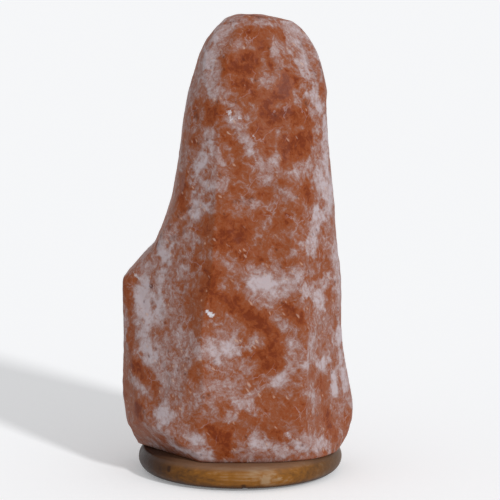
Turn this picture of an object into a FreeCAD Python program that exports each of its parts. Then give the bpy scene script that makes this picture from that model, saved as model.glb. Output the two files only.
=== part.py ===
"""Salt crystal table lamp: a rough-hewn block of rock salt screwed to a turned wooden base.

A small screw-in lamp stands in a bore drilled up into the block. Its lampholder is fixed to a pressed
steel plate, and a sprung bracket grips the hole in the base, so that block and base lift straight off
the lampholder. Millimetres, +Z up, X to the right as the lamp is seen from the front, which faces -Y.
The origin is the centre of the base, on the surface that the lamp stands on.
"""
import FreeCAD
import Part

import math
import os
from collections import namedtuple

Vector = FreeCAD.Vector
UP = Vector(0, 0, 1)
BACKWARD = Vector(0, 1, 0)
CENTRE = Vector(0, 0, 0)

# ---- Clearances -------------------------------------------------------------------------------------
SEAT_GAP = 0.1          # between pieces that are screwed or pushed together
SLIDE_GAP = 0.3         # between the lampholder and what slides over it
TURN_GAP = 0.05         # between the lamp's contact and the cap that turns round it
THREAD_GAP = 0.08       # between the cap and the sleeve that it screws into

# ---- Felt pads --------------------------------------------------------------------------------------
PAD_RADIUS = 7.0
PAD_THICKNESS = 2.0
PAD_CIRCLE_RADIUS = 58.0
PAD_COUNT = 4

# ---- Wooden base ------------------------------------------------------------------------------------
BASE_RADIUS = 75.0      # at the widest, half-way up the rounded edge
BASE_THICKNESS = 16.0
EDGE_BULGE = 4.6        # how far the rounded edge stands out past the flat faces
HOLDER_HOLE_RADIUS = 20.0
RECESS_RADIUS = 30.0
RECESS_DEPTH = 10.5
FLEX_GROOVE_WIDTH = 9.0
NICK_RADIUS = 2.0       # a small chip out of the lower front edge
NICK_X = 3.7

# ---- Fixing of the block to the base ----------------------------------------------------------------
FIXING_COUNT = 3
FIXING_CIRCLE_RADIUS = 50.0
SCREW_LENGTH = 30.0
SCREW_SHANK_RADIUS = 1.9
SCREW_HEAD_RADIUS = 4.0
SCREW_HEAD_DEPTH = 2.6
SCREW_TIP_LENGTH = 4.0
SCREW_SINK = 0.5        # the head's face lies this far inside the base
SCREW_CROSS_LENGTH = 4.4
SCREW_CROSS_WIDTH = 0.9
SCREW_CROSS_DEPTH = 1.4
PLUG_RADIUS = 4.0
PLUG_LENGTH = 24.0
PLUG_COLLAR = 8.0       # unsplit length at the plug's mouth
PLUG_SLOT_WIDTH = 1.0

# ---- Salt block -------------------------------------------------------------------------------------
BLOCK_HEIGHT = 315.5
BLOCK_REACH = 86.0      # the furthest that the block reaches out from the base's axis
CHAMBER_RADIUS = 25.0
CHAMBER_END_HEIGHT = 135.0
CHAMBER_TIP_DEPTH = 6.0
SECTION_POINTS = 16

# One horizontal section of the block: its height above the base in hundredths of the block's height, how
# far it reaches to the left, right, front and back of the base's axis in hundredths of the block's reach,
# and how square it is (2 is an ellipse).
Section = namedtuple("Section", "height left right front back squareness")
# The broad lower mass, which ends in a shoulder on the left.
SHOULDER_SECTIONS = [
    Section(0.0, 87.2, 84.9, 70.3, 70.9, 2.6),
    Section(7.6, 97.7, 95.3, 77.9, 79.1, 2.6),
    Section(24.1, 99.1, 87.4, 80.2, 81.4, 2.6),
    Section(41.8, 99.8, 84.9, 75.0, 76.7, 2.6),
    Section(60.9, 83.7, 65.1, 52.3, 54.7, 2.5),
]
# The column that stands out of it, up to the blunt crown.
COLUMN_SECTIONS = [
    Section(28.5, 67.4, 77.9, 66.3, 66.3, 2.5),
    Section(50.7, 68.6, 82.3, 66.9, 67.4, 2.5),
    Section(60.9, 56.3, 79.8, 61.0, 61.6, 2.5),
    Section(74.8, 48.6, 75.1, 53.5, 52.9, 2.4),
    Section(87.5, 38.1, 69.3, 42.4, 42.4, 2.3),
    Section(95.7, 25.6, 54.7, 28.5, 28.5, 2.3),
    Section(100.0, 1.2, 27.9, 12.8, 12.8, 2.1),
]

# A flat that was struck or sawn off the block: the way it faces in plan in degrees (0 is right, -90 is
# front), how far it leans back from upright, and its distance from the base's axis, in hundredths of the
# block's reach, at the given height, in hundredths of the block's height.
Flat = namedtuple("Flat", "facing lean distance height")
SHOULDER_FLATS = [
    Flat(180.0, 41.0, 100.0, 39.3),     # the sloping top of the shoulder
    Flat(-150.0, 38.0, 93.0, 39.3),     # the same slope, round towards the front
    Flat(145.0, 36.0, 97.7, 37.4),      # and round towards the back
]
HEWN_FLATS = [
    Flat(-33.0, 1.5, 84.3, 17.4),       # long right-hand band, lower part
    Flat(-41.0, 6.5, 75.0, 55.5),       # the same band, upper part
    Flat(-152.0, 0.5, 92.4, 19.0),      # left flank of the shoulder
    Flat(-118.0, 3.0, 80.8, 22.2),      # left front of the foot
    Flat(-86.0, 6.0, 72.1, 29.2),       # broad front face
    Flat(-131.0, 8.0, 58.1, 63.4),      # left front of the column
    Flat(-120.0, 30.0, 49.4, 85.6),     # left front of the crown
    Flat(-50.0, 32.0, 59.3, 85.6),      # right front of the crown
    Flat(-141.0, -40.0, 68.0, 0.0),     # undercut over the base, left front
    Flat(30.0, 2.5, 86.6, 22.2),        # right back, lower part
    Flat(42.0, 8.5, 70.9, 63.4),        # right back, upper part
    Flat(86.0, 3.0, 76.7, 19.0),        # broad back face
    Flat(100.0, 10.0, 57.0, 63.4),      # back of the column
    Flat(138.0, 4.0, 88.4, 22.2),       # left back, lower part
    Flat(80.0, 33.0, 48.8, 85.6),       # back of the crown
    Flat(0.0, 80.0, 16.3, 99.8),        # the blunt top
]

# ---- Plate and sprung bracket -----------------------------------------------------------------------
PLATE_RADIUS = 27.5
PLATE_THICKNESS = 1.0
PLATE_RIM_DEPTH = 2.0   # the pressed rim, from the plate's top face down
WIRE_HOLE_RADIUS = 5.0
BRACKET_WIRE_LEDGE = 1.5 # how much smaller the wire hole is in the bracket than in the plate
BRACKET_THICKNESS = 0.5
BRACKET_WIDTH = 9.0
BRACKET_HEIGHT = 28.0
BRACKET_BEND = 4.5      # radius of the bend from the flat middle up into each arm
BRACKET_LAND = 1.6      # upright stretch of each arm, inside the hole
BRACKET_CURL = 3.4      # height of the curled-in tip
BRACKET_LEAN_GAP = 1.9  # between the skirt and the arm where its tip begins to curl in

# ---- Lampholder -------------------------------------------------------------------------------------
SKIRT_RADIUS = 13.5
SKIRT_WALL = 1.8
SKIRT_HEIGHT = 39.5
SKIRT_NECK_RADIUS = 11.6
SKIRT_NECK_HEIGHT = 13.0
SKIRT_LIP = 2.0
SKIRT_BEVEL = 1.0
CARRIER_HEIGHT = 15.5
CARRIER_ROOF = 6.0      # what is left solid over the wire way
CARRIER_WIRE_LEDGE = 0.6 # how much smaller the wire way is than the plate's wire hole
SLEEVE_WALL = 0.4
SLEEVE_HEIGHT = 19.0
CONTACT_THICKNESS = 0.4
CONTACT_WIDTH = 3.6
CONTACT_LIFT = 1.0      # how far the tongue stands up under the lamp's contact
SIDE_CONTACT_UPRIGHT = 2.0
TERMINAL_HEAD_RADIUS = 1.9
TERMINAL_HEAD_HEIGHT = 1.6
TERMINAL_SHANK_RADIUS = 1.2
TERMINAL_SHANK_LENGTH = 5.0
TERMINAL_SLOT_WIDTH = 0.6

# ---- Terminal cover and flex inlet -------------------------------------------------------------------
COVER_RADIUS = 17.0
COVER_HEIGHT = 9.0
COVER_WALL = 1.6
COVER_FLOOR = 1.2
COVER_EDGE = 1.2
COVER_SCREW_X = 9.6
COVER_SCREW_RADIUS = 1.45
COVER_SCREW_LENGTH = 16.0
COVER_SCREW_HEAD_RADIUS = 2.6
COVER_SCREW_HEAD_HEIGHT = 1.8
COVER_SCREW_SLOT_WIDTH = 0.8
COVER_BOSS_RADIUS = 4.0
FLEX_RADIUS = 2.6       # bore of the grommet, for a round two-core flex
GROMMET_WALL = 0.6
GROMMET_LIP = 0.5       # how far its two lips stand out past the hole in the spout
GROMMET_LIP_LENGTH = 1.2
SPOUT_LENGTH = 5.0      # how far the cover's spout stands out from its round wall
SPOUT_WIDTH = 11.2
SPOUT_WALL = 2.2

# ---- Screw-in lamp ----------------------------------------------------------------------------------
CAP_RADIUS = 6.75       # the mean radius of the cap's thread
CAP_LENGTH = 18.6
CAP_WALL = 0.3
CAP_FOOT_RADIUS = 4.6
CAP_FOOT_HEIGHT = 1.6
BUTTON_RADIUS = 2.3
BUTTON_HEIGHT = 1.3
INSULATOR_HEIGHT = 0.9
LAMP_LENGTH = 57.0
GLASS_RADIUS = 14.0
GLASS_WALL = 0.7
NECK_RADIUS = 6.3
NECK_OVERLAP = 7.0      # how far the glass neck reaches down into the cap
NECK_STRAIGHT = 4.5     # straight neck above the cap
FLARE_HEIGHT = 14.0
STEM_RADIUS = 2.4
STEM_FLARE_HEIGHT = 3.0
STEM_HEIGHT = 16.0
PINCH_WIDTH = 5.6
PINCH_THICKNESS = 2.2
PINCH_HEIGHT = 6.0
LEAD_RADIUS = 0.3
LEAD_FOOT_X = 1.8
LEAD_TOP_X = 6.5
LEAD_HEIGHT = 13.0
FILAMENT_RADIUS = 0.25
FILAMENT_RISE = 3.0

# ---- Heights that follow from the sizes above -------------------------------------------------------
BASE_BOTTOM = PAD_THICKNESS
BASE_TOP = BASE_BOTTOM + BASE_THICKNESS
RECESS_CEILING = BASE_BOTTOM + RECESS_DEPTH
PLATE_TOP = RECESS_CEILING
PLATE_BOTTOM = PLATE_TOP - PLATE_THICKNESS
BRACKET_TOP = PLATE_TOP + BRACKET_THICKNESS
CARRIER_TOP = BRACKET_TOP + CARRIER_HEIGHT
SKIRT_TOP = BRACKET_TOP + SKIRT_HEIGHT
COVER_BOTTOM = PLATE_BOTTOM - COVER_HEIGHT
FLEX_HEIGHT = (COVER_BOTTOM + COVER_FLOOR + PLATE_BOTTOM) / 2
FLEX_GROOVE_TOP = FLEX_HEIGHT + FLEX_RADIUS + SLIDE_GAP
BUTTON_BOTTOM = CARRIER_TOP + CONTACT_THICKNESS + CONTACT_LIFT + SEAT_GAP
INSULATOR_BOTTOM = BUTTON_BOTTOM + BUTTON_HEIGHT - INSULATOR_HEIGHT
CAP_BOTTOM = INSULATOR_BOTTOM + INSULATOR_HEIGHT / 2
CAP_TOP = CAP_BOTTOM + CAP_LENGTH
NECK_BOTTOM = CAP_TOP - NECK_OVERLAP
LAMP_TOP = BUTTON_BOTTOM + LAMP_LENGTH
SLEEVE_INNER_RADIUS = CAP_RADIUS + THREAD_GAP
SLEEVE_RADIUS = SLEEVE_INNER_RADIUS + SLEEVE_WALL
SKIRT_INNER_RADIUS = SKIRT_RADIUS - SKIRT_WALL
CARRIER_RADIUS = SKIRT_INNER_RADIUS - SEAT_GAP
TERMINAL_X = (SLEEVE_RADIUS + SKIRT_INNER_RADIUS) / 2
LARGE = 600.0           # larger than the whole lamp, for cutting tools


# ---- Shared operations ------------------------------------------------------------------------------
def line(start, end):
    """A straight edge between two (radius, height) points in the XZ plane."""
    return Part.LineSegment(Vector(start[0], 0, start[1]), Vector(end[0], 0, end[1])).toShape()


def arc(start, through, end):
    """An arc through three (radius, height) points in the XZ plane."""
    points = [Vector(x, 0, z) for x, z in (start, through, end)]
    return Part.Arc(*points).toShape()


def polygon(points):
    """The closed run of straight edges through the given (radius, height) points."""
    return [line(a, b) for a, b in zip(points, points[1:] + points[:1])]


def turned(edges):
    """The solid that a closed profile in the XZ plane sweeps round the Z axis."""
    return Part.Face(Part.Wire(Part.sortEdges(edges)[0])).revolve(CENTRE, UP, 360)


def rod(radius, bottom, top, x=0.0, y=0.0):
    """An upright cylinder between two heights."""
    return Part.makeCylinder(radius, top - bottom, Vector(x, y, bottom), UP)


def block(x_range, y_range, z_range):
    """A box between two corners given as ranges."""
    (x0, x1), (y0, y1), (z0, z1) = x_range, y_range, z_range
    return Part.makeBox(x1 - x0, y1 - y0, z1 - z0, Vector(x0, y0, z0))


def around(count, radius, first_degrees):
    """Positions spaced evenly on a circle round the Z axis."""
    for index in range(count):
        angle = math.radians(first_degrees + 360.0 * index / count)
        yield Vector(radius * math.cos(angle), radius * math.sin(angle), 0)


def save(name, *solids):
    """Writes one named sub-part as a STEP file of one or more separate solids."""
    shape = solids[0] if len(solids) == 1 else Part.makeCompound(list(solids))
    shape.exportStep(os.path.join("parts", name + ".step"))
    print(name, len(shape.Solids), round(shape.Volume, 1), shape.isValid())


# ---- Salt block -------------------------------------------------------------------------------------
def section_wire(section):
    """A smooth closed outline: a superellipse with its own reach on each side."""
    power = 2.0 / section.squareness
    points = []
    for index in range(SECTION_POINTS):
        angle = 2 * math.pi * index / SECTION_POINTS
        c, s = math.cos(angle), math.sin(angle)
        reach_x = BLOCK_REACH * (section.right if c > 0 else section.left) / 100
        reach_y = BLOCK_REACH * (section.back if s > 0 else section.front) / 100
        points.append(Vector(math.copysign(reach_x * abs(c) ** power, c),
                             math.copysign(reach_y * abs(s) ** power, s),
                             BASE_TOP + BLOCK_HEIGHT * section.height / 100))
    curve = Part.BSplineCurve()
    # Every section has the same parameters, so that the loft between them stays simple.
    parameters = [float(index) for index in range(SECTION_POINTS + 1)]
    curve.interpolate(Points=points, PeriodicFlag=True, Parameters=parameters)
    return Part.Wire(curve.toShape())


def strike_flat(solid, flat):
    """Removes what lies outside one hewn flat."""
    facing, lean = math.radians(flat.facing), math.radians(flat.lean)
    outward = Vector(math.cos(facing) * math.cos(lean), math.sin(facing) * math.cos(lean), math.sin(lean))
    distance = BLOCK_REACH * flat.distance / 100
    height = BASE_TOP + BLOCK_HEIGHT * flat.height / 100
    point = Vector(distance * math.cos(facing), distance * math.sin(facing), height)
    plane = Part.Plane(point, outward)
    waste = plane.toShape(-LARGE, LARGE, -LARGE, LARGE).extrude(outward * LARGE)
    return solid.cut(waste)


def fixing_positions():
    """The centres of the screws that hold the block to the base, clear of the flex groove."""
    return list(around(FIXING_COUNT, FIXING_CIRCLE_RADIUS, -90.0))


def rock_mass(sections, flats):
    """One mass of the block: a smooth loft through its sections, struck flat in places."""
    solid = Part.makeLoft([section_wire(s) for s in sections], True, False, False, 3)
    for flat in flats:
        solid = strike_flat(solid, flat)
    return solid


def salt_crystal():
    """The block: shoulder and column grown together, hewn flat, bored and drilled from below."""
    solid = rock_mass(SHOULDER_SECTIONS, SHOULDER_FLATS).fuse(rock_mass(COLUMN_SECTIONS, []))
    for flat in HEWN_FLATS:
        solid = strike_flat(solid, flat)
    tip = CHAMBER_END_HEIGHT - CHAMBER_TIP_DEPTH
    chamber = turned(polygon([(0, BASE_TOP - 1), (CHAMBER_RADIUS, BASE_TOP - 1), (CHAMBER_RADIUS, tip),
                              (0, CHAMBER_END_HEIGHT)]))
    holes = [rod(PLUG_RADIUS + SEAT_GAP, BASE_TOP - 1, BASE_TOP + PLUG_LENGTH + SEAT_GAP, p.x, p.y)
             for p in fixing_positions()]
    return solid.cut([chamber] + holes)


# ---- Wooden base ------------------------------------------------------------------------------------
def screw_hole(position):
    """The clearance hole and countersink for one fixing screw."""
    head_face = BASE_BOTTOM + SCREW_SINK
    shank = SCREW_SHANK_RADIUS + SEAT_GAP
    head = SCREW_HEAD_RADIUS + SEAT_GAP
    profile = polygon([(0, BASE_BOTTOM - 1), (head, BASE_BOTTOM - 1), (head, head_face),
                       (shank, head_face + SCREW_HEAD_DEPTH), (shank, BASE_TOP + 1), (0, BASE_TOP + 1)])
    return turned(profile).translated(position)


def wood_base():
    """The turned disc: rounded edge, hole for the lampholder, recess, flex groove and screw holes."""
    face_radius = BASE_RADIUS - EDGE_BULGE
    middle = (BASE_BOTTOM + BASE_TOP) / 2
    solid = turned([
        line((HOLDER_HOLE_RADIUS, RECESS_CEILING), (HOLDER_HOLE_RADIUS, BASE_TOP)),
        line((HOLDER_HOLE_RADIUS, BASE_TOP), (face_radius, BASE_TOP)),
        arc((face_radius, BASE_TOP), (BASE_RADIUS, middle), (face_radius, BASE_BOTTOM)),
        line((face_radius, BASE_BOTTOM), (RECESS_RADIUS, BASE_BOTTOM)),
        line((RECESS_RADIUS, BASE_BOTTOM), (RECESS_RADIUS, RECESS_CEILING)),
        line((RECESS_RADIUS, RECESS_CEILING), (HOLDER_HOLE_RADIUS, RECESS_CEILING)),
    ])
    groove = block((-FLEX_GROOVE_WIDTH / 2, FLEX_GROOVE_WIDTH / 2), (HOLDER_HOLE_RADIUS, BASE_RADIUS + 1),
                   (BASE_BOTTOM - 1, FLEX_GROOVE_TOP))
    nick_y = -math.sqrt(face_radius ** 2 - NICK_X ** 2)
    nick = Part.makeSphere(NICK_RADIUS, Vector(NICK_X, nick_y, BASE_BOTTOM))
    return solid.cut([groove, nick] + [screw_hole(p) for p in fixing_positions()])


def foot_pad(position):
    """One felt pad, stuck to the underside of the base."""
    return rod(PAD_RADIUS, 0, PAD_THICKNESS, position.x, position.y)


def base_screw(position):
    """A countersunk wood screw with a cross recess, driven up through the base."""
    face = BASE_BOTTOM + SCREW_SINK
    tip = face + SCREW_LENGTH
    screw = turned(polygon([(0, face), (SCREW_HEAD_RADIUS, face),
                            (SCREW_SHANK_RADIUS, face + SCREW_HEAD_DEPTH),
                            (SCREW_SHANK_RADIUS, tip - SCREW_TIP_LENGTH), (0, tip)]))
    long, narrow = SCREW_CROSS_LENGTH / 2, SCREW_CROSS_WIDTH / 2
    depth = (face - 1, face + SCREW_CROSS_DEPTH)
    cross = [block((-long, long), (-narrow, narrow), depth), block((-narrow, narrow), (-long, long), depth)]
    return screw.cut(cross).translated(position)


def wall_plug(position):
    """A nylon plug in the block, split down its middle so that the screw spreads it."""
    bore = SCREW_SHANK_RADIUS + SEAT_GAP
    plug = rod(PLUG_RADIUS, BASE_TOP, BASE_TOP + PLUG_LENGTH).cut(rod(bore, BASE_TOP - 1, LARGE))
    half = PLUG_SLOT_WIDTH / 2
    split = block((-LARGE, LARGE), (-half, half), (BASE_TOP + PLUG_COLLAR, LARGE))
    return plug.cut(split).translated(position)


# ---- Plate, bracket and lampholder ------------------------------------------------------------------
def cover_screw_positions():
    """The two screws that hold cover, plate and bracket to the contact carrier."""
    return [Vector(side * COVER_SCREW_X, 0, 0) for side in (-1, 1)]


def screw_clearance(bottom, top):
    """Clearance holes for the two cover screws."""
    radius = COVER_SCREW_RADIUS + SEAT_GAP
    return [rod(radius, bottom, top, p.x, p.y) for p in cover_screw_positions()]


def retainer_plate():
    """The pressed steel disc that bears on the ceiling of the recess, its rim turned down."""
    inner = PLATE_RADIUS - PLATE_THICKNESS
    rim_bottom = PLATE_TOP - PLATE_RIM_DEPTH
    bevel = PLATE_THICKNESS / 2
    hole = [(WIRE_HOLE_RADIUS, PLATE_BOTTOM), (WIRE_HOLE_RADIUS, PLATE_TOP)]
    edge = [(PLATE_RADIUS - bevel, PLATE_TOP), (PLATE_RADIUS, PLATE_TOP - bevel)]
    rim = [(PLATE_RADIUS, rim_bottom), (inner, rim_bottom), (inner, PLATE_BOTTOM)]
    disc = turned(polygon(hole + edge + rim))
    return disc.cut(screw_clearance(PLATE_BOTTOM - 1, PLATE_TOP + 1))


def bracket_arm():
    """The path of one arm's outer face: out from the middle, up inside the hole, then leaning in."""
    # The arm's two edges, and not its middle, come nearest to the round hole.
    reach = math.sqrt((HOLDER_HOLE_RADIUS - SLIDE_GAP) ** 2 - (BRACKET_WIDTH / 2) ** 2)
    bend = BRACKET_BEND * math.sin(math.pi / 4)
    bend_start = (reach - BRACKET_BEND, PLATE_TOP)
    bend_middle = (bend_start[0] + bend, PLATE_TOP + BRACKET_BEND - bend)
    bend_end = (reach, PLATE_TOP + BRACKET_BEND)
    land_end = (reach, PLATE_TOP + BRACKET_BEND + BRACKET_LAND)
    tip = PLATE_TOP + BRACKET_HEIGHT
    curl_start = (SKIRT_RADIUS + BRACKET_THICKNESS + BRACKET_LEAN_GAP, tip - BRACKET_CURL)
    curl_middle = (curl_start[0] - BRACKET_LEAN_GAP * 0.35, tip - BRACKET_CURL * 0.45)
    curl_end = (curl_start[0] - BRACKET_LEAN_GAP, tip)
    return [line((0, PLATE_TOP), bend_start), arc(bend_start, bend_middle, bend_end),
            line(bend_end, land_end), line(land_end, curl_start), arc(curl_start, curl_middle, curl_end)]


def spring_bracket():
    """One strip of spring steel: flat under the lampholder, its two arms bent up to grip the hole."""
    path = Part.Wire(bracket_arm())
    strip = path.makeOffset2D(BRACKET_THICKNESS, fill=True, openResult=True)
    arm = strip.extrude(Vector(0, BRACKET_WIDTH, 0)).translated(Vector(0, -BRACKET_WIDTH / 2, 0))
    solid = arm.fuse(arm.mirror(CENTRE, Vector(1, 0, 0))).removeSplitter()
    wire_hole = rod(WIRE_HOLE_RADIUS - BRACKET_WIRE_LEDGE, PLATE_TOP - 1, BRACKET_TOP + 1)
    return solid.cut([wire_hole] + screw_clearance(PLATE_TOP - 1, BRACKET_TOP + 1))


def lampholder_skirt():
    """The moulded outer shell, stepped in at the top and lipped round the lamp's cap."""
    mouth = SLEEVE_RADIUS + SLIDE_GAP
    step = SKIRT_TOP - SKIRT_NECK_HEIGHT
    neck_inner = SKIRT_NECK_RADIUS - SKIRT_WALL
    lip = SKIRT_TOP - SKIRT_LIP
    inner_step = step - SKIRT_WALL
    outside = [(SKIRT_RADIUS, BRACKET_TOP), (SKIRT_RADIUS, step - SKIRT_BEVEL),
               (SKIRT_NECK_RADIUS, step + SKIRT_BEVEL / 2), (SKIRT_NECK_RADIUS, SKIRT_TOP - SKIRT_BEVEL),
               (SKIRT_NECK_RADIUS - SKIRT_BEVEL, SKIRT_TOP)]
    inside = [(mouth, SKIRT_TOP), (mouth, lip), (neck_inner, lip), (neck_inner, inner_step),
              (SKIRT_INNER_RADIUS, inner_step), (SKIRT_INNER_RADIUS, BRACKET_TOP)]
    return turned(polygon(outside + inside))


def contact_carrier():
    """The insulating core: a wire way from below, pockets for the terminal screws on top."""
    core = rod(CARRIER_RADIUS, BRACKET_TOP, CARRIER_TOP)
    wire_way = rod(WIRE_HOLE_RADIUS - CARRIER_WIRE_LEDGE, BRACKET_TOP - 1, CARRIER_TOP - CARRIER_ROOF)
    bottom = BRACKET_TOP - 1
    screw_holes = [rod(COVER_SCREW_RADIUS + SEAT_GAP, bottom, COVER_BOTTOM + COVER_SCREW_LENGTH + 1, p.x, p.y)
                   for p in cover_screw_positions()]
    terminal_holes = [rod(TERMINAL_SHANK_RADIUS + SEAT_GAP, CARRIER_TOP - TERMINAL_SHANK_LENGTH - 0.5,
                          CARRIER_TOP + 1, side * TERMINAL_X) for side in (-1, 1)]
    return core.cut([wire_way] + screw_holes + terminal_holes)


def threaded_sleeve():
    """The brass sleeve that the lamp's cap screws into, open at both ends."""
    wall = rod(SLEEVE_RADIUS, CARRIER_TOP, CARRIER_TOP + SLEEVE_HEIGHT)
    wall = wall.cut(rod(SLEEVE_INNER_RADIUS, CARRIER_TOP - 1, LARGE))
    # A notch in the foot lets the centre contact pass in under the lamp.
    notch = block((-LARGE, 0), (-CONTACT_WIDTH / 2 - SLIDE_GAP, CONTACT_WIDTH / 2 + SLIDE_GAP),
                  (CARRIER_TOP - 1, CARRIER_TOP + CONTACT_THICKNESS + SLIDE_GAP))
    return wall.cut(notch)


def terminal_lug(side):
    """The flat eye of a contact, drilled for its terminal screw."""
    top = CARRIER_TOP + CONTACT_THICKNESS
    eye = rod(CONTACT_WIDTH / 2, CARRIER_TOP, top, side * TERMINAL_X)
    return eye, rod(TERMINAL_SHANK_RADIUS + SEAT_GAP, CARRIER_TOP - 1, top + 1, side * TERMINAL_X)


def centre_contact():
    """The live contact: an eye, a flat strip in under the lamp and a raised tongue at its end."""
    eye, hole = terminal_lug(-1)
    half = CONTACT_WIDTH / 2
    crank_top = -BUTTON_RADIUS
    crank_foot = crank_top - CONTACT_LIFT
    low, high = CARRIER_TOP, CARRIER_TOP + CONTACT_LIFT
    lean = CONTACT_THICKNESS / 2
    strip = Part.Face(Part.Wire(polygon([
        (-TERMINAL_X, low), (crank_foot, low), (crank_top, high), (BUTTON_RADIUS, high),
        (BUTTON_RADIUS, high + CONTACT_THICKNESS), (crank_top - lean, high + CONTACT_THICKNESS),
        (crank_foot - lean, low + CONTACT_THICKNESS), (-TERMINAL_X, low + CONTACT_THICKNESS)])))
    strip = strip.extrude(Vector(0, CONTACT_WIDTH, 0)).translated(Vector(0, -half, 0))
    return eye.fuse(strip).removeSplitter().cut(hole)


def side_contact():
    """The neutral contact: an eye and a strip that stands up against the outside of the sleeve."""
    eye, hole = terminal_lug(1)
    half = CONTACT_WIDTH / 2
    reach = half + SIDE_CONTACT_UPRIGHT
    inside = rod(SLEEVE_RADIUS, CARRIER_TOP - 1, LARGE)
    flat_top = CARRIER_TOP + CONTACT_THICKNESS
    foot = block((0, TERMINAL_X), (-half, half), (CARRIER_TOP, flat_top))
    bridge = rod(SLEEVE_RADIUS + 2 * CONTACT_THICKNESS, CARRIER_TOP, flat_top)
    bridge = bridge.common(block((0, LARGE), (0, reach), (0, LARGE)))
    upright = rod(SLEEVE_RADIUS + CONTACT_THICKNESS, CARRIER_TOP, CARRIER_TOP + SLEEVE_HEIGHT / 2)
    upright = upright.common(block((0, LARGE), (half, reach), (0, LARGE)))
    return eye.fuse([foot, bridge, upright]).cut([inside, hole]).removeSplitter()


def terminal_screw(side):
    """A slotted cheese-head screw that clamps a wire to its contact."""
    seat = CARRIER_TOP + CONTACT_THICKNESS
    head = rod(TERMINAL_HEAD_RADIUS, seat, seat + TERMINAL_HEAD_HEIGHT)
    shank = rod(TERMINAL_SHANK_RADIUS, seat - TERMINAL_SHANK_LENGTH, seat)
    half = TERMINAL_SLOT_WIDTH / 2
    slot = block((-LARGE, LARGE), (-half, half), (seat + TERMINAL_HEAD_HEIGHT / 2, LARGE))
    return head.fuse(shank).removeSplitter().cut(slot).translated(Vector(side * TERMINAL_X, 0, 0))


def cover_bosses():
    """Two round screw bosses, each widened out to the cover's wall, which it stands against."""
    heights = (COVER_BOTTOM, PLATE_BOTTOM)
    width = (-COVER_BOSS_RADIUS, COVER_BOSS_RADIUS)
    inside_wall = rod(COVER_RADIUS - COVER_WALL / 2, *heights)
    bosses = []
    for p in cover_screw_positions():
        bosses.append(rod(COVER_BOSS_RADIUS, *heights, p.x, p.y))
        outward = sorted((p.x, math.copysign(COVER_RADIUS, p.x)))
        bosses.append(block(outward, width, heights).common(inside_wall))
    return bosses


def terminal_cover():
    """The moulded cover under the plate: a shallow dish with two screw bosses and a spout for the flex."""
    dish = turned(polygon([(0, COVER_BOTTOM), (COVER_RADIUS - COVER_EDGE, COVER_BOTTOM),
                           (COVER_RADIUS, COVER_BOTTOM + COVER_EDGE), (COVER_RADIUS, PLATE_BOTTOM),
                           (0, PLATE_BOTTOM)]))
    spout_end = COVER_RADIUS + SPOUT_LENGTH
    half = SPOUT_WIDTH / 2
    spout = block((-half, half), (0, spout_end), (COVER_BOTTOM, PLATE_BOTTOM))
    inside = (COVER_BOTTOM + COVER_FLOOR, PLATE_BOTTOM + 1)
    cavity = rod(COVER_RADIUS - COVER_WALL, *inside)
    channel = block((COVER_WALL - half, half - COVER_WALL), (0, spout_end - SPOUT_WALL), inside)
    bosses = cover_bosses()
    head = COVER_SCREW_HEAD_RADIUS + SEAT_GAP
    head_depth = COVER_BOTTOM + COVER_SCREW_HEAD_HEIGHT + SEAT_GAP
    recesses = [rod(head, COVER_BOTTOM - 1, head_depth, p.x, p.y) for p in cover_screw_positions()]
    grommet = FLEX_RADIUS + GROMMET_WALL
    inlet = Part.makeCylinder(grommet, LARGE, Vector(0, COVER_RADIUS, FLEX_HEIGHT), BACKWARD)
    solid = dish.fuse(spout).cut([cavity, channel, inlet]).fuse(bosses).removeSplitter()
    return solid.cut(recesses + screw_clearance(COVER_BOTTOM - 1, PLATE_BOTTOM + 1))


def cover_screw(position):
    """A pan-head screw from under the cover up into the contact carrier."""
    face = COVER_BOTTOM + SEAT_GAP
    head = rod(COVER_SCREW_HEAD_RADIUS, face, face + COVER_SCREW_HEAD_HEIGHT)
    shank = rod(COVER_SCREW_RADIUS, face, face + COVER_SCREW_LENGTH)
    half = COVER_SCREW_SLOT_WIDTH / 2
    slot = block((-LARGE, LARGE), (-half, half), (0, face + COVER_SCREW_HEAD_HEIGHT / 2))
    return head.fuse(shank).removeSplitter().cut(slot).translated(position)


def inlet_grommet():
    """The rubber grommet in the spout's end wall, where a flex enters: a lip on each side of the wall."""
    outer_face = COVER_RADIUS + SPOUT_LENGTH
    inner_face = outer_face - SPOUT_WALL
    body = FLEX_RADIUS + GROMMET_WALL
    lip = body + GROMMET_LIP
    inner_end, outer_end = inner_face - GROMMET_LIP_LENGTH, outer_face + GROMMET_LIP_LENGTH
    bevel = GROMMET_LIP / 2
    solid = turned(polygon([
        (FLEX_RADIUS, inner_end), (lip, inner_end), (lip, inner_face), (body, inner_face), (body, outer_face),
        (lip, outer_face), (lip, outer_end - bevel), (lip - bevel, outer_end), (FLEX_RADIUS, outer_end)]))
    solid.rotate(CENTRE, Vector(1, 0, 0), -90)
    return solid.translated(Vector(0, 0, FLEX_HEIGHT))


# ---- Screw-in lamp ----------------------------------------------------------------------------------
def bulb_contact():
    """The solder button under the cap, its end slightly domed."""
    waist = BUTTON_BOTTOM + BUTTON_HEIGHT / 2
    top = BUTTON_BOTTOM + BUTTON_HEIGHT
    return turned([arc((0, BUTTON_BOTTOM), (BUTTON_RADIUS * 0.6, BUTTON_BOTTOM + BUTTON_HEIGHT * 0.12),
                       (BUTTON_RADIUS, waist)),
                   line((BUTTON_RADIUS, waist), (BUTTON_RADIUS, top)), line((BUTTON_RADIUS, top), (0, top)),
                   line((0, top), (0, BUTTON_BOTTOM))])


def bulb_insulator():
    """The ring of black glass between the button and the cap."""
    inner = BUTTON_RADIUS
    outer = CAP_FOOT_RADIUS - CAP_WALL - TURN_GAP
    top = INSULATOR_BOTTOM + INSULATOR_HEIGHT
    return turned(polygon([(inner, INSULATOR_BOTTOM), (outer, CAP_BOTTOM), (outer, top), (inner, top)]))


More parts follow.
